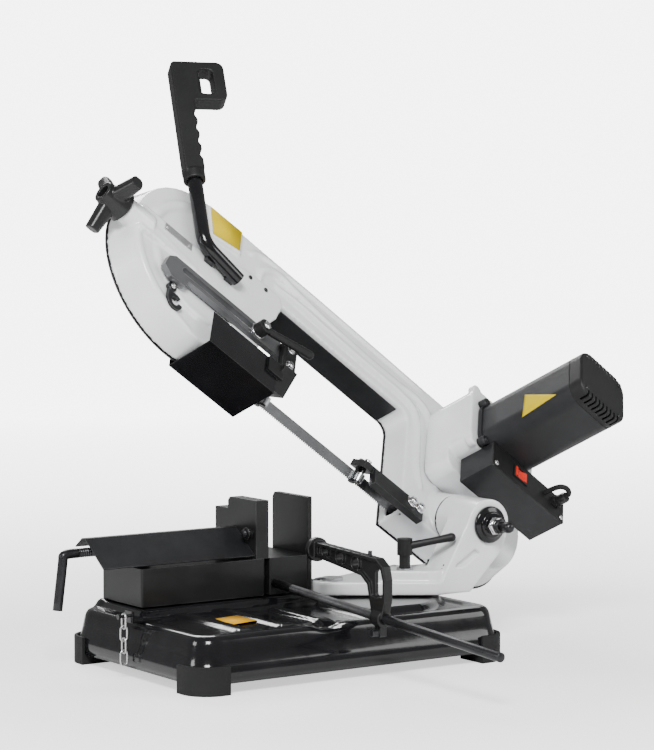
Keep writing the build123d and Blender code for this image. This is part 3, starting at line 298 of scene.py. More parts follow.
# ---- mesh tools ----
def add(name, mesh, body, slot, place=SAW, smooth=True, stands_for=()):
    """Links a mesh, drawn in millimetres of its own place, as a piece that rides on a body."""
    mesh.transform(place @ Matrix.Diagonal((MM, MM, MM, 1)))
    for face in mesh.polygons:
        face.use_smooth = smooth
    mesh.materials.append(FINISHES[slot])
    piece = bpy.data.objects.new(name, mesh)
    bpy.context.scene.collection.objects.link(piece)
    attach(piece, body)
    if stands_for:
        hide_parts(*stands_for)
    return piece


def mesh_from(points, faces):
    """A mesh with outward faces."""
    mesh = bpy.data.meshes.new("shape")
    mesh.from_pydata([tuple(p) for p in points], [], faces)
    work = bmesh.new()
    work.from_mesh(mesh)
    bmesh.ops.recalc_face_normals(work, faces=work.faces)
    work.to_mesh(mesh)
    work.free()
    return mesh


def merged(meshes):
    """Several meshes as one."""
    work = bmesh.new()
    for mesh in meshes:
        work.from_mesh(mesh)
    result = bpy.data.meshes.new("merged")
    work.to_mesh(result)
    work.free()
    return result


def placed(mesh, matrix):
    """The same mesh after a move in millimetres."""
    mesh.transform(matrix)
    return mesh


def evaluated(mesh, *steps):
    """The mesh after modifiers, each given as (kind, settings)."""
    holder = bpy.data.objects.new("holder", mesh)
    bpy.context.scene.collection.objects.link(holder)
    for kind, settings in steps:
        modifier = holder.modifiers.new(kind, kind)
        for key, value in settings.items():
            setattr(modifier, key, value)
    bpy.context.view_layer.update()
    graph = bpy.context.evaluated_depsgraph_get()
    result = bpy.data.meshes.new_from_object(holder.evaluated_get(graph))
    bpy.data.objects.remove(holder)
    return result


def rounded_edges(mesh, width, segments=2, angle=32):
    """Bevelled hard edges."""
    return evaluated(
        mesh,
        ("WELD", {"merge_threshold": 0.002}),
        (
            "BEVEL",
            {
                "width": width,
                "segments": segments,
                "limit_method": "ANGLE",
                "angle_limit": math.radians(angle),
            },
        ),
        ("WEIGHTED_NORMAL", {"keep_sharp": False}),
    )


def prism(outline, low, high):
    """A solid on a closed outline of (x, y), between two z levels."""
    count = len(outline)
    points = [(x, y, low) for x, y in outline] + [(x, y, high) for x, y in outline]
    faces = [tuple(range(count)), tuple(range(count, 2 * count))]
    faces += [(i, (i + 1) % count, count + (i + 1) % count, count + i) for i in range(count)]
    return mesh_from(points, faces)


def box_mesh(low, high):
    """A box between two corners."""
    outline = [(low[0], low[1]), (high[0], low[1]), (high[0], high[1]), (low[0], high[1])]
    return prism(outline, low[2], high[2])


def round_outline(width, height, radius, centre=(0.0, 0.0), steps=8):
    """Rounded rectangle as a list of points."""
    points = []
    for quadrant in range(4):
        sx = 1 if quadrant in (0, 3) else -1
        sy = 1 if quadrant in (0, 1) else -1
        cx, cy = sx * (width / 2 - radius), sy * (height / 2 - radius)
        for i in range(steps + 1):
            angle = math.pi / 2 * (quadrant + i / steps)
            points.append(
                (centre[0] + cx + radius * math.cos(angle), centre[1] + cy + radius * math.sin(angle))
            )
    return points


def lathe(profile, sides=48):
    """A turned solid about z from a profile of (radius, z); ends are closed on the axis."""
    points = []
    for radius, z in profile:
        for i in range(sides):
            angle = 2 * math.pi * i / sides
            points.append((radius * math.cos(angle), radius * math.sin(angle), z))
    faces = []
    for ring in range(len(profile) - 1):
        for i in range(sides):
            j = (i + 1) % sides
            a, b = ring * sides, (ring + 1) * sides
            faces.append((a + i, a + j, b + j, b + i))
    faces.append(tuple(range(sides)))
    faces.append(tuple(range((len(profile) - 1) * sides, len(profile) * sides)))
    return mesh_from(points, faces)


def thread(radius, pitch, length, depth, sides=28, per_turn=10):
    """A screw thread along z: a rod whose radius follows a helical wave."""
    rows = int(length / pitch * per_turn)
    points = []
    for row in range(rows + 1):
        z = length * row / rows
        fade = min(1.0, row / 6, (rows - row) / 6)
        for i in range(sides):
            phase = z / pitch - i / sides
            wave = abs((phase % 1.0) * 2 - 1)
            r = radius - depth * fade * (1 - wave)
            angle = 2 * math.pi * i / sides
            points.append((r * math.cos(angle), r * math.sin(angle), z))
    faces = []
    for row in range(rows):
        for i in range(sides):
            j = (i + 1) % sides
            faces.append((row * sides + i, row * sides + j, (row + 1) * sides + j, (row + 1) * sides + i))
    faces.append(tuple(range(sides)))
    faces.append(tuple(range(rows * sides, (rows + 1) * sides)))
    return mesh_from(points, faces)


def curve_points(points, steps=10):
    """Smooth curve through points, Catmull-Rom."""
    points = [Vector(p) for p in points]
    full = [points[0] * 2 - points[1]] + points + [points[-1] * 2 - points[-2]]
    result = []
    for i in range(len(points) - 1):
        a, b, c, d = full[i : i + 4]
        for k in range(steps):
            t = k / steps
            result.append(
                0.5
                * (
                    2 * b
                    + (c - a) * t
                    + (2 * a - 5 * b + 4 * c - d) * t * t
                    + (3 * b - a - 3 * c + d) * t * t * t
                )
            )
    result.append(points[-1])
    return result


def swept(points, half_width, half_height, normal=(0, 0, 1), sides=14, taper=0.0):
    """A bar of elliptical section along a path; normal is the section's short axis."""
    normal = Vector(normal)
    count = len(points)
    verts = []
    for i, point in enumerate(points):
        ahead = points[min(i + 1, count - 1)] - points[max(i - 1, 0)]
        side = ahead.cross(normal).normalized()
        up = side.cross(ahead).normalized()
        end = min(i, count - 1 - i) / (count - 1) * 2
        scale = 1 - taper * (1 - min(1.0, end * 4)) ** 2
        for k in range(sides):
            angle = 2 * math.pi * k / sides
            offset = side * (half_width * scale * math.cos(angle))
            offset += up * (half_height * scale * math.sin(angle))
            verts.append(point + offset)
    faces = []
    for i in range(count - 1):
        for k in range(sides):
            j = (k + 1) % sides
            faces.append((i * sides + k, i * sides + j, (i + 1) * sides + j, (i + 1) * sides + k))
    faces.append(tuple(range(sides)))
    faces.append(tuple(range((count - 1) * sides, count * sides)))
    return mesh_from(verts, faces)


def turn_to(centre, axis):
    """Matrix that stands z along an axis at a centre, in millimetres."""
    turn = Vector((0, 0, 1)).rotation_difference(Vector(axis))
    return Matrix.Translation(Vector(centre)) @ turn.to_matrix().to_4x4()


def hex_head(size, height, washer=0.0):
    """Hexagon head standing on z = 0, with chamfered corners and an optional washer under it."""
    corner = size / math.cos(math.pi / 6)
    rings = [(corner, washer), (corner, washer + height * 0.8), (corner * 0.86, washer + height)]
    points = []
    for radius, z in rings:
        for i in range(6):
            angle = math.pi / 3 * i
            points.append((radius * math.cos(angle), radius * math.sin(angle), z))
    faces = [tuple(range(6)), tuple(range(12, 18))]
    for ring in range(2):
        for i in range(6):
            j = (i + 1) % 6
            faces.append((ring * 6 + i, ring * 6 + j, ring * 6 + 6 + j, ring * 6 + 6 + i))
    meshes = [mesh_from(points, faces)]
    if washer:
        rim = size * 1.5
        profile = [(size * 1.45, 0), (rim, washer * 0.3), (rim, washer * 0.8), (size * 1.42, washer)]
        meshes.append(lathe(profile, 32))
    return merged(meshes)


def screw_head(radius, height):
    """Pan head with a socket recess."""
    profile = [
        (radius, 0), (radius, height * 0.45), (radius * 0.9, height * 0.85), (radius * 0.7, height),
        (radius * 0.42, height), (radius * 0.38, height * 0.4), (NEAR_AXIS, height * 0.35),
    ]
    return lathe(profile, 28)


def cad_copy(*names):
    """CAD nodes as one mesh in millimetres of the saw's frame."""
    meshes = []
    for node in names:
        mesh = NODES[node].data.copy()
        mesh.materials.clear()
        mesh.transform(Matrix.Diagonal((1 / MM, 1 / MM, 1 / MM, 1)))
        meshes.append(mesh)
    return merged(meshes)


def softened(node, voxel, rounds, extras=()):
    """A CAD node with its edges rounded as a mould leaves them, in millimetres."""
    mesh = merged([cad_copy(node), *extras])
    return evaluated(
        mesh,
        ("REMESH", {"mode": "VOXEL", "voxel_size": voxel}),
        ("SMOOTH", {"factor": 0.5, "iterations": rounds}),
    )


# ---- CAD nodes that keep their shape: rounded edges and a finish ----
EDGE_WIDTHS = {
    "rubber_feet": 1.6,
    "vise_body": 1.6,
    "bed_block": 1.6,
    "fixed_jaw": 1.8,
    "movable_jaw": 1.4,
    "vise_cover": 0.4,
    "guard_box": 0.5,
    "control_box": 0.8,
    "control_lid": 0.8,
    "motor_body": 1.0,
    "fixed_guide": 0.7,
    "moving_guide": 0.8,
    "chain_hook": 0.9,
    "chain_anchor": 0.5,
    "rear_cover": 0.5,
    "rocker_switch": 0.5,
    "trigger": 0.8,
    "name_plate": 0.2,
    "hinge_nut": 0.5,
}


def dress_node(node, slot, width):
    """Gives a CAD node its finish and, where it has hard edges in view, a small bevel."""
    thing = NODES[node]
    thing.data.materials.clear()
    thing.data.materials.append(FINISHES[slot])
    if "custom_normal" in thing.data.attributes:
        thing.data.attributes.remove(thing.data.attributes["custom_normal"])
    for face in thing.data.polygons:
        face.use_smooth = True
    weld = thing.modifiers.new("weld", "WELD")
    weld.merge_threshold = 2e-6
    if width:
        bevel = thing.modifiers.new("bevel", "BEVEL")
        bevel.width = width * MM
        bevel.segments = 2
        bevel.limit_method = "ANGLE"
        bevel.angle_limit = math.radians(34)
        thing.modifiers.new("normals", "WEIGHTED_NORMAL")
    else:
        split = thing.modifiers.new("split", "EDGE_SPLIT")
        split.split_angle = math.radians(34)


for node_name, node_slot in NODE_SLOTS.items():
    dress_node(node_name, node_slot, EDGE_WIDTHS.get(node_name, 0.0))


# ---- bow casting, gear case and swivel bracket as soft castings ----
def ridge(points, half_width, rise):
    """A soft raised line on the bow's front face."""
    path = [Vector((u, v, CASE_FRONT)) for u, v in points]
    return placed(swept(curve_points(path, 6), half_width, rise, taper=0.5), FROM_BOW)


def circle_points(centre, radius, start, end, steps=14):
    """Points of an arc, angles in degrees."""
    result = []
    for i in range(steps + 1):
        angle = math.radians(start + (end - start) * i / steps)
        result.append((centre[0] + radius * math.cos(angle), centre[1] + radius * math.sin(angle)))
    return result


UPPER_CREST = [
    (-64, 222), (-60, 246), (-42, 262), (-16, 268), (20, 263), (80, 256), (150, 252), (220, 249),
    (290, 251), (340, 255), (374, 240), (386, 205), (388, 160), (392, 118), (410, 96),
]
LOWER_CREST = [
    (-24, 240), (40, 240), (110, 237), (180, 236), (250, 236), (300, 235), (334, 226), (349, 198),
    (352, 150), (356, 96), (372, 60),
]
TONGUE = [
    (-215, 128), (-186, 110), (-140, 108), (-112, 97), (-74, 92), (-40, 126), (-19, 160), (-8, 196),
    (-14, 214), (-44, 218), (-100, 214), (-150, 198), (-215, 172),
]
LABEL = [(-197, 287), (-122, 289), (-120, 244), (-183, 232)]
LABEL_PAD = [(-202, 291), (-117, 293), (-115, 239), (-187, 226)]
PAD_ROOT = CASE_FRONT - 3.0
LABEL_W = CASE_FRONT + 6.0
TONGUE_W = CASE_FRONT + 7.5
case_extras = [
    ridge(UPPER_CREST, 9, 8.0),
    ridge(LOWER_CREST, 8, 7.5),
    ridge(circle_points((IDLER_U, WHEEL_V), 106, 195, 292), 9, 5.0),
    ridge(circle_points((IDLER_U, WHEEL_V), 146, 178, 268), 7, 3.5),
    ridge(circle_points((IDLER_U, WHEEL_V), 118, 100, 168), 10, 5.0),
    ridge([(-96, 262), (-60, 282), (40, 287), (200, 287), (360, 286)], 6, 4.0),
    placed(prism(LABEL_PAD, PAD_ROOT, LABEL_W - 0.6), FROM_BOW),
    ridge([(-366, 142), (-330, 142), (-250, 128), (-190, 118)], 9, 9.0),
    placed(prism(TONGUE, PAD_ROOT, TONGUE_W), FROM_BOW),
]
SHELLS = [
    ("bow_shell", "bow_casting", 2.6, 7, "arm", "white_paint", case_extras),
    ("gear_case_shell", "gear_housing", 2.2, 6, "arm", "white_paint", ()),
    ("swivel_shell", "swivel_bracket", 2.0, 7, "turret", "white_paint", ()),
    ("stop_arm_shell", "stop_arm", 1.0, 3, "stop", "black_casting", ()),
    ("grip_shell", "handle_grip", 1.3, 7, "arm", "matt_black_plastic", ()),
    ("knob_shell", "tension_knob", 1.2, 7, "knob", "gloss_black_plastic", ()),
]
for shell, cast_node, voxel_size, smoothing, shell_body, shell_slot, shell_extras in SHELLS:
    shell_mesh = softened(cast_node, voxel_size, smoothing, shell_extras)
    add(shell, shell_mesh, shell_body, shell_slot, stands_for=[cast_node])


# ---- small fasteners ----
def row(name, head, body, slot, spots, axis=(0, 0, 1), place=BOW):
    """Copies of one small piece standing on several spots, in millimetres of the place."""
    return add(name, merged([placed(head.copy(), turn_to(s, axis)) for s in spots]), body, slot, place)


HOOK_FACE = bow_box("chain_hook")[1].z
row("beam_screw_a", screw_head(4, 3), "arm", "blackened_steel", [(-90, 202, TONGUE_W - 0.5)])
row("beam_screw_b", screw_head(4, 3), "arm", "blackened_steel", [(-52, 203, TONGUE_W - 0.5)])
row("hook_screw", screw_head(5, 3.5), "arm", "zinc_steel", [(-250, 46, HOOK_FACE)])


# ---- motor ----
motor_low, motor_high = bow_box("motor_body")
MOTOR_WIDTH, MOTOR_HEIGHT, _ = motor_high - motor_low
MOTOR_FOOT = motor_low.z + 0.2
MOTOR_END = bow_box("motor_end_cap")[1].z


def motor_plate(proud, corner, low, high):
    """A plate round the motor that stands proud of its sides."""
    outline = round_outline(MOTOR_WIDTH + 2 * proud, MOTOR_HEIGHT + 2 * proud, corner, centre=MOTOR.xy)
    return prism(outline, low, high)


# A near-black band where the motor body meets its end cap: painted shade standing in for the shaded gap.
seam = motor_plate(0.4, 30.4, motor_high.z - 0.7, motor_high.z + 1.0)
add("motor_seam", seam, "arm", "painted_gap_shade", place=BOW)
flange = motor_plate(3.0, 32.0, MOTOR_FOOT, MOTOR_FOOT + 8.8)
add("motor_flange", rounded_edges(flange, 1.2), "arm", "motor_grey", place=BOW)
LUG_SEAT = 11.0
lug = lathe([(9, 0), (9, 13), (8, 15), (5, 15.5), (4.6, LUG_SEAT), (NEAR_AXIS, LUG_SEAT)], 28)
lugs = [(MOTOR.x + du, MOTOR.y + dv, MOTOR_FOOT) for du, dv in ((-55, 46), (-55, -44), (54, 46))]
row("motor_lugs", lug, "arm", "motor_grey", lugs)
lug_screws = [(u, v, w + LUG_SEAT + 1.8) for u, v, w in lugs]
row("motor_lug_screws", screw_head(4.4, 3), "arm", "blackened_steel", lug_screws)
cap_screws = [(MOTOR.x + a * 44, MOTOR.y + b * 37, MOTOR_END - 0.4) for a in (-1, 1) for b in (-1, 1)]
row("cap_screws", screw_head(4.2, 2.6), "arm", "blackened_steel", cap_screws)


def decal(name, outline, toward, node, body, slot, steps=14, gap=0.35, thickness=0.3):
    """A plain triangular sticker, cast along a direction onto the surface of a CAD node."""
    mesh = cad_copy(node)
    tree = BVHTree.FromPolygons([v.co for v in mesh.vertices], [p.vertices for p in mesh.polygons])
    corners = [Vector(c) for c in outline]
    points, index, faces = [], {}, []
    for i in range(steps + 1):
        for j in range(steps + 1 - i):
            index[i, j] = len(points)
            aim = corners[0] + (corners[1] - corners[0]) * (i / steps)
            aim = aim + (corners[2] - corners[0]) * (j / steps)
            spot, normal, _, _ = tree.ray_cast(aim - toward * 200, toward)
            points.append(spot + normal * gap)
    for i in range(steps):
        for j in range(steps - i):
            faces.append((index[i, j], index[i + 1, j], index[i, j + 1]))
            if j < steps - i - 1:
                faces.append((index[i + 1, j], index[i + 1, j + 1], index[i, j + 1]))
    sheet = bpy.data.meshes.new(name)
    sheet.from_pydata(points, [], faces)
    solid = evaluated(sheet, ("SOLIDIFY", {"thickness": thickness, "offset": 0.0}))
    return add(name, solid, body, slot)


# ---- control box ----
gland_low, gland_high = bow_box("cable_gland")
GLAND_U, GLAND_V, _ = (gland_low + gland_high) / 2
LID_W = gland_low.z
lid_screws = [(414, 80, LID_W), (591, 80, LID_W), (591, 116, LID_W)]
row("lid_screws", screw_head(4.8, 3.2), "arm", "zinc_steel", lid_screws)

SWITCH_U, SWITCH_V, _ = joint_in_bow("switch_rock")
FRAME_RISE = 2.6
FRAME_BARS = [(-18, -14, 18, -11), (-18, 11, 18, 14), (-18, -11, -15, 11), (15, -11, 18, 11)]
frame_bars = [
    box_mesh((SWITCH_U + u0, SWITCH_V + v0, LID_W), (SWITCH_U + u1, SWITCH_V + v1, LID_W + FRAME_RISE))
    for u0, v0, u1, v1 in FRAME_BARS
]
add("switch_frame", merged(frame_bars), "arm", "gloss_black_plastic", place=BOW, smooth=False)

gland = lathe([(11.6, 0), (11.6, 8), (10.4, 9.5), (9.5, 10), (9.5, 24), (8.4, 27.5), (4.2, 28)], 10)
gland = placed(gland, turn_to((GLAND_U, GLAND_V, LID_W), (0, 0, 1)))
add("gland_nut", gland, "arm", "gloss_black_plastic", place=BOW, smooth=False)
CABLE_LOOP = [(0, 0, 26), (-3, 1, 35), (-14, 2, 39), (-24, 3, 32), (-27, 4, 14), (-27, 4, -1)]
loop = [Vector((GLAND_U + du, GLAND_V + dv, LID_W + dw)) for du, dv, dw in CABLE_LOOP]
cable = swept(curve_points(loop, 8), 4.6, 4.6, normal=(0.3, 1, 0.2))
add("cable", cable, "arm", "black_rubber", place=BOW)


# ---- guides ----
MOVING_FACE = 55.5
FIXED_FACE = bow_box("fixed_guide")[1].z
moving_bolts = [(1, 88, MOVING_FACE), (1, 50, MOVING_FACE)]
row("guide_bolts", hex_head(6, 5, washer=1.6), "guide", "bright_chrome", moving_bolts)
fixed_bolts = [(336, -1, FIXED_FACE), (356, -1, FIXED_FACE)]
row("fixed_bolts", hex_head(7.2, 6.4, washer=1.8), "arm", "bright_chrome", fixed_bolts)

PIN_TOP = 30.0
for tag, body in (("moving", "guide"), ("fixed", "arm")):
    heads = []
    for side in ("front", "rear"):
        spot = joint_spot(f"{tag}_{side}_roller_spin")
        base = spot.dot(UPRIGHT) - (ORIGIN / MM).dot(UPRIGHT)
        heads.append(spot + UPRIGHT * (PIN_TOP - base))
    pin_head = hex_head(6.4, 5.5, washer=1.4)
    row(tag + "_pin_heads", pin_head, body, "bright_chrome", heads, UPRIGHT, SAW)

CLAMP_U, CLAMP_V, _ = joint_in_bow("guide_clamp")
BAR_FACE = bow_box("guide_bar")[1].z
clamp_washer = lathe([(14.5, 0), (14.5, 2.2), (13.5, 2.8), (9, 2.8)], 36)
clamp_parts = [
    placed(clamp_washer, turn_to((CLAMP_U, CLAMP_V, BAR_FACE + 0.1), (0, 0, 1))),
    placed(hex_head(6.5, 5), turn_to((CLAMP_U, CLAMP_V, BAR_FACE + 19.9), (0, 0, 1))),
]
add("clamp_steel", merged(clamp_parts), "guide_clamp", "bright_chrome", place=BOW)


# ---- vise and swivel ----
jaw_bolts = [(-31, 77, 206)]
row("jaw_bolt", hex_head(7, 6, washer=2), "vise_jaw", "blackened_steel", jaw_bolts, (-1, 0, 0), SAW)
DECK_TOP = 142.4
deck_bolts = [(262, -92, DECK_TOP), (276, -30, DECK_TOP)]
row("deck_bolts", hex_head(8, 6.5, washer=2), "turret", "blackened_steel", deck_bolts, (0, 0, 1), SAW)
SCALE_INNER, SCALE_OUTER = 20.5, 31.0
SCALE_LOW, SCALE_HIGH = 123.6, 126.0
SWIVEL = joint_spot("turret_swivel")
scale_arc = circle_points(SWIVEL.xy, SCALE_OUTER, 25, 150) + circle_points(SWIVEL.xy, SCALE_INNER, 150, 25)
scale_plate = rounded_edges(prism(scale_arc, SCALE_LOW, SCALE_HIGH), 0.4)
add("scale_plate", scale_plate, "turret", "dark_grey_sheet", SAW)


# ---- labels, plain ----
def label(name, outline, level, body, slot, place=BOW):
    """A thin plate on a closed outline."""
    return add(name, prism(outline, level, level + 0.4), body, slot, place=place)


label("beam_label", LABEL, LABEL_W, "arm", "yellow_label")


# ---- pressed tray ----
TRAY_LOW, TRAY_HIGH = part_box("base_tray")
TRAY_LENGTH, TRAY_WIDTH, _ = in_mm(TRAY_HIGH - TRAY_LOW)
PAD_RISE = 12.0
TRAY_TOP = TRAY_HIGH.z / MM - PAD_RISE
RIB_RISE = 5.0
RIM_RISE = 2.5
DIP = 9.0
SHEET = 2.5


def step(distance, width):
    """Smooth 0 to 1 as a signed distance goes from outside to inside."""
    t = min(1.0, max(0.0, distance / width + 0.5))
    return t * t * (3 - 2 * t)


def inside_box(x, y, low, high, width):
    """Smooth mask of a rectangle."""
    gap = min(x - low[0], high[0] - x, y - low[1], high[1] - y)
    return step(gap, width)


def tray_height(x, y):
    """Pressed relief of the tray's top."""
    vise = inside_box(x, y, (-258, 38), (102, 200), 14)
    swivel = min(
        step(182 - math.hypot(x - SWIVEL.x, y - SWIVEL.y), 14),
        inside_box(x, y, (54, -156), (288, 196), 14),
    )
    relief = PAD_RISE * max(vise, swivel)
    for centre in (-190, -110, -30):
        rib = inside_box(x, y, (centre - 14, -166), (centre + 14, 30), 10)
        relief = max(relief, RIB_RISE * rib)
    field = step(min(x + 262, 262 - x, y + 166, 172 - y), 10)
    relief += RIM_RISE * (1 - field)
    dip = math.exp(-(((x + 43) / 26) ** 2)) * step(-y - 158, 26)
    return TRAY_TOP + relief - DIP * dip - SHEET


def pressed_tray():
    """Skirt with a crease and rounded shoulder, and a top with ribs and pads."""
    skirt = [
        (0.0, 17), (0.0, 30), (0.4, 41), (2.6, 45), (4.4, 49), (7.0, 62), (9.6, 76), (11.5, 82.5),
        (14.5, 87), (19.0, 89.6), (24.0, 90.0),
    ]
    rings = skirt + [(inset, None) for inset in range(28, 203, 4)]
    samples = 400
    points = []
    for inset, z in rings:
        radius = max(42 - inset * 0.55, 3.0)
        outline = even_outline(TRAY_LENGTH - 2 * inset, TRAY_WIDTH - 2 * inset, radius, samples)
        for x, y in outline:
            if z is None:
                level = tray_height(x, y)
            else:
                share = step(z - 86, 6)
                level = z + share * (tray_height(x, y) - TRAY_TOP)
            points.append((x, y, level))
    faces = []
    for ring in range(len(rings) - 1):
        for i in range(samples):
            j = (i + 1) % samples
            a, b = ring * samples, (ring + 1) * samples
            faces.append((a + i, a + j, b + j, b + i))
    faces.append(tuple(range((len(rings) - 1) * samples, len(rings) * samples)))
    sheet = mesh_from(points, faces)
    return evaluated(sheet, ("SOLIDIFY", {"thickness": SHEET, "offset": -1.0}))


def even_outline(width, height, radius, samples):
    """Rounded rectangle sampled so that matching points of nested outlines line up."""
    radius = min(radius, width / 2 - 0.5, height / 2 - 0.5)
    straight_x, straight_y = width - 2 * radius, height - 2 * radius
    along_x, along_y = samples * 29 // 100, samples * 17 // 100
    arc = (samples - 2 * along_x - 2 * along_y) // 4
    points = []
    corners = [(1, 1, 0), (-1, 1, 90), (-1, -1, 180), (1, -1, 270)]
    runs = [along_x, along_y, along_x, along_y]
    for (sx, sy, start), run in zip(corners, runs):
        cx, cy = sx * straight_x / 2, sy * straight_y / 2
        for i in range(arc):
            angle = math.radians(start + 90 * i / arc)
            points.append((cx + radius * math.cos(angle), cy + radius * math.sin(angle)))
        angle = math.radians(start + 90)
        first = Vector((cx + radius * math.cos(angle), cy + radius * math.sin(angle)))
        nx, ny, nstart = corners[(corners.index((sx, sy, start)) + 1) % 4]
        turn = math.radians(nstart)
        last = Vector((nx * straight_x / 2, ny * straight_y / 2))
        last += Vector((radius * math.cos(turn), radius * math.sin(turn)))
        for i in range(run):
            spot = first.lerp(last, i / run)
            points.append((spot.x, spot.y))
    return points


add("pressed_tray", pressed_tray(), "base", "black_enamel", stands_for=["base_tray"])
tray_label = [(-170, -46), (-115, -34), (-124, -98), (-179, -110)]
label("tray_label", tray_label, TRAY_TOP + 0.4, "base", "amber_label", place=SAW)
sign = [FROM_BOW @ Vector(c) for c in ((427, 230, 200), (494, 285, 200), (423, 172, 200))]
SIGHT = Vector((0.56, 0.82, -0.06)).normalized()
decal("motor_sign", sign, SIGHT, "motor_body", "arm", "yellow_label")


# ---- band with teeth ----
def band():
    """Endless toothed band that runs round both wheels and is twisted upright between the guides."""
    half_wide, half_thick = 10.0, 0.45
    root, gullet = -6.6, 2.6
    tip_thick, tooth_set = 0.4, 0.28
    reach = WHEEL_R + 0.02 + half_thick
    flat = 28.0
    pitch = 4.4
    first, second = IDLER_U + flat, -20.0
    third, last = 255.0, DRIVE_U - flat
    upright = 55.0
    run = DRIVE_U - IDLER_U
    total = 2 * run + 2 * math.pi * reach
    teeth = int(total / pitch)
    marks = ((0.0, 0.0), (0.16, 1.0), (0.5, 0.85))
    verts = []
    for tooth in range(teeth):
        for share, cut in marks:
            s = total * (tooth + share) / teeth
            if s < run:
                u = IDLER_U + s
                if u < second:
                    twist = upright * max(0.0, (u - first) / (second - first))
                elif u < third:
                    twist = upright
                else:
                    twist = upright * max(0.0, min(1.0, (last - u) / (last - third)))
                angle = math.radians(twist)
                spot = Vector((u, 0, 0))
                across = Vector((0, math.sin(angle), math.cos(angle)))
                normal = Vector((0, -math.cos(angle), math.sin(angle)))
            else:
                across = Vector((0, 0, 1))
                if s < run + math.pi * reach:
                    angle = (s - run) / reach - math.pi / 2
                    centre = Vector((DRIVE_U, WHEEL_V, 0))
                elif s < 2 * run + math.pi * reach:
                    angle = math.pi / 2
                    centre = Vector((DRIVE_U - (s - run - math.pi * reach), WHEEL_V, 0))
                else:
                    angle = math.pi / 2 + (s - 2 * run - math.pi * reach) / reach
                    centre = Vector((IDLER_U, WHEEL_V, 0))
                normal = Vector((math.cos(angle), math.sin(angle), 0))
                spot = centre + normal * reach
            lean = ((tooth % 3) - 1) * tooth_set * (1 - cut)
            section = ((half_wide, half_thick, 0.0), (root, half_thick, 0.0))
            section += ((-half_wide + gullet * cut, tip_thick, lean),)
            for offset, thick, shift in section:
                for side in (1, -1):
                    verts.append(spot + across * offset + normal * (side * thick + shift))
    faces = []
    stations = len(verts) // 6
    order = (0, 2, 4, 5, 3, 1)
    for i in range(stations):
        j = (i + 1) % stations
        for k in range(6):
            a, b = order[k], order[(k + 1) % 6]
            faces.append((i * 6 + a, j * 6 + a, j * 6 + b, i * 6 + b))
    return mesh_from(verts, faces)


add("saw_band", band(), "arm", "band_steel", place=BOW, smooth=False, stands_for=["blade"])


# ---- screws with threads ----
CRANK = 92.0
_, SCREW_Y, SCREW_Z = joint_spot("screw_turn")
elbow = Vector((-353.0, SCREW_Y, SCREW_Z))
crank_dir = Vector((-12.0, 0, -CRANK)).normalized()
crank_path = [elbow + Vector((26, 0, 0)), elbow + Vector((12, 0, 0)), elbow + Vector((3, 0, -1.5))]
crank_path += [elbow + crank_dir * 5 + Vector((-0.6, 0, 0))]
crank_path += [elbow + crank_dir * 16, elbow + crank_dir * CRANK]
SCREW_R = 8.0
screw_thread = thread(SCREW_R, 4.0, 318, 1.3, sides=24, per_turn=8)
screw_parts = [
    placed(screw_thread, turn_to(elbow + Vector((20, 0, 0)), (1, 0, 0))),
    swept(curve_points(crank_path, 6), SCREW_R, SCREW_R, normal=(0, 1, 0), sides=24),
]
add("vise_screw_threaded", merged(screw_parts), "vise_screw", "blackened_steel", stands_for=["vise_screw"])

ROD_R = 7.5
ROD_AXIS = Vector(JOINTS["stop_slide"]["axis"])
rod_low, rod_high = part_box("stop_rod")
rod_x = (rod_low.x + rod_high.x) / 2 / MM
rod_tip = Vector((rod_x, rod_low.y / MM, rod_low.z / MM + ROD_R))
rod_length = (rod_high.y - rod_low.y) / MM / ROD_AXIS.y
rod_profile = [(6.2, 0), (7.3, 0.9), (ROD_R, 1.6), (ROD_R, 330), (7.2, 331), (7.2, rod_length - 1)]
rod_thread = thread(ROD_R, 2.0, 240, 0.5, sides=28, per_turn=6)
rod_parts = [
    placed(lathe(rod_profile, 36), turn_to(rod_tip, ROD_AXIS)),
    placed(rod_thread, turn_to(rod_tip + ROD_AXIS * 322, ROD_AXIS)),
]
add("stop_rod_turned", merged(rod_parts), "base", "blackened_steel", stands_for=["stop_rod"])


# ---- hinge end ----
hinge = joint_spot("arm_pivot")
washer_low, washer_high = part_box("hinge_washer")
HUB_FACE, WASHER_FACE = washer_high.y / MM, washer_low.y / MM
RING_RISE = 4.6


def on_hinge(mesh, y):
    """A mesh that stands on the hinge's axis and faces the operator."""
    return placed(mesh, turn_to((hinge.x, y, hinge.z), (0, -1, 0)))


collar = [(15.2, 0), (31.5, 0), (31.5, 4.5), (29.5, 6.5), (24.5, 7.2), (23.5, 8.0), (16, 8.0)]
add(
    "hinge_collar", on_hinge(lathe(collar, 64), HUB_FACE), "arm", "black_enamel",
    stands_for=["hinge_washer"],
)
ring = [(16, 0), (23, 0), (23, 2.6), (21.6, 4.2), (20, RING_RISE), (9, RING_RISE)]
add("hinge_ring", on_hinge(lathe(ring, 48), WASHER_FACE), "arm", "black_enamel")
add(
    "hinge_hex", on_hinge(hex_head(14.2, 12.5), WASHER_FACE - RING_RISE), "arm", "bright_chrome",
    stands_for=["hinge_nut"],
)
lock_washer = [(10.5, 0), (10.5, 1.6), (8.5, 2.0)]
shaft_end = [(9.4, 0), (9.4, 16), (9.0, 20), (7.6, 23.5), (4.8, 25.8), (1.2, 26.4)]
lock_parts = [
    on_hinge(hex_head(12.0, 9.5), WASHER_FACE - 18.5),
    on_hinge(lathe(lock_washer, 32), WASHER_FACE - 17),
    on_hinge(lathe(shaft_end, 32), WASHER_FACE - 28),
]
add("hinge_lock_nut", merged(lock_parts), "arm", "blackened_steel", stands_for=["hinge_shaft"])


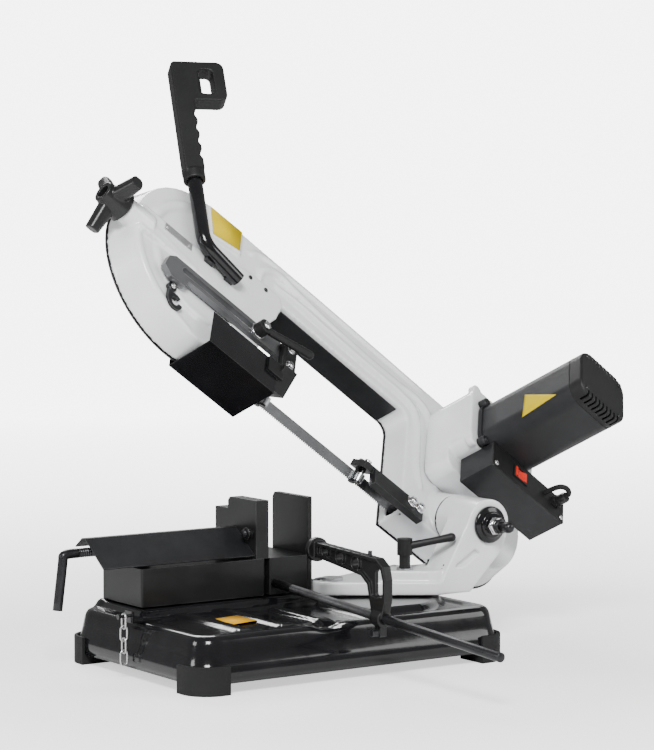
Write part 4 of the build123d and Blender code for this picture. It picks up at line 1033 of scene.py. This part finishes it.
# ---- floor, light and camera ----
def soft_light(name, spot, aim, size, power):
    """A square area light."""
    data = bpy.data.lights.new(name, "AREA")
    data.shape = "SQUARE"
    data.size = size
    data.energy = power
    light = bpy.data.objects.new(name, data)
    bpy.context.scene.collection.objects.link(light)
    light.location = spot
    light.rotation_mode = "QUATERNION"
    light.rotation_quaternion = (Vector(aim) - Vector(spot)).to_track_quat("-Z", "Y")


def plain_floor():
    """A wide pale floor."""
    half = 12000.0
    corners = [(-half, -half, 0), (half, -half, 0), (half, half, 0), (-half, half, 0)]
    mesh = mesh_from(corners, [(0, 1, 2, 3)])
    mesh.transform(Matrix.Diagonal((MM, MM, MM, 1)))
    material = bpy.data.materials.new("floor")
    material.use_nodes = True
    tree = material.node_tree
    shader = tree.nodes["Principled BSDF"]
    coord = tree.nodes.new("ShaderNodeTexCoord")
    cloud = noise(tree, coord, 1.5, 3.0)
    tint = blend_colour(tree, cloud.outputs["Fac"], (0.93, 0.93, 0.93), (0.95, 0.95, 0.95))
    tree.links.new(tint, shader.inputs["Base Color"])
    tree.links.new(tint, shader.inputs["Emission Color"])
    away = new_node(tree, "ShaderNodeVectorMath", operation="LENGTH")
    tree.links.new(coord.outputs["Object"], away.inputs[0])
    glow = ramp(tree, away.outputs["Value"], 1.0, 6.0, 0.6, 5.0)
    seen = tree.nodes.new("ShaderNodeLightPath")
    shown = new_node(tree, "ShaderNodeMath", operation="MULTIPLY")
    tree.links.new(glow, shown.inputs[0])
    tree.links.new(seen.outputs["Is Camera Ray"], shown.inputs[1])
    tree.links.new(shown.outputs["Value"], shader.inputs["Emission Strength"])
    shader.inputs["Roughness"].default_value = 0.8
    mesh.materials.append(material)
    floor = bpy.data.objects.new("floor", mesh)
    bpy.context.scene.collection.objects.link(floor)


plain_floor()
world = bpy.data.worlds.new("studio")
bpy.context.scene.world = world
world.use_nodes = True
sky = world.node_tree
backdrop = sky.nodes["Background"]
backdrop.inputs["Color"].default_value = (1.0, 1.0, 1.0, 1.0)
# The world lights the saw softly, and the camera sees it brighter, as a white backdrop.
path = sky.nodes.new("ShaderNodeLightPath")
sky.links.new(ramp(sky, path.outputs["Is Camera Ray"], 0.3, 6.0), backdrop.inputs["Strength"])
soft_light("key", (-1.9, -2.6, 2.9), (0.1, 0.0, 0.35), 1.2, 220)
soft_light("fill", (2.6, -2.2, 1.6), (0.1, 0.0, 0.35), 1.6, 40)
soft_light("rim", (0.9, 2.6, 2.4), (0.1, 0.0, 0.4), 1.4, 60)
soft_light("strip", (-2.6, 0.6, 1.2), (-0.1, 0.0, 0.3), 0.8, 22)

YAW, PITCH = math.radians(34.36), math.radians(3.75)
CAMERA_SPOT = (-2.3645, -3.574, 0.756)
camera_data = bpy.data.cameras.new("camera")
camera_data.sensor_width = 36.0
camera_data.lens = 124.8
camera = bpy.data.objects.new("camera", camera_data)
bpy.context.scene.collection.objects.link(camera)
camera.location = CAMERA_SPOT
looking = Vector(
    (math.sin(YAW) * math.cos(PITCH), math.cos(YAW) * math.cos(PITCH), -math.sin(PITCH))
)
camera.rotation_mode = "QUATERNION"
camera.rotation_quaternion = looking.to_track_quat("-Z", "Y")
bpy.context.scene.camera = camera
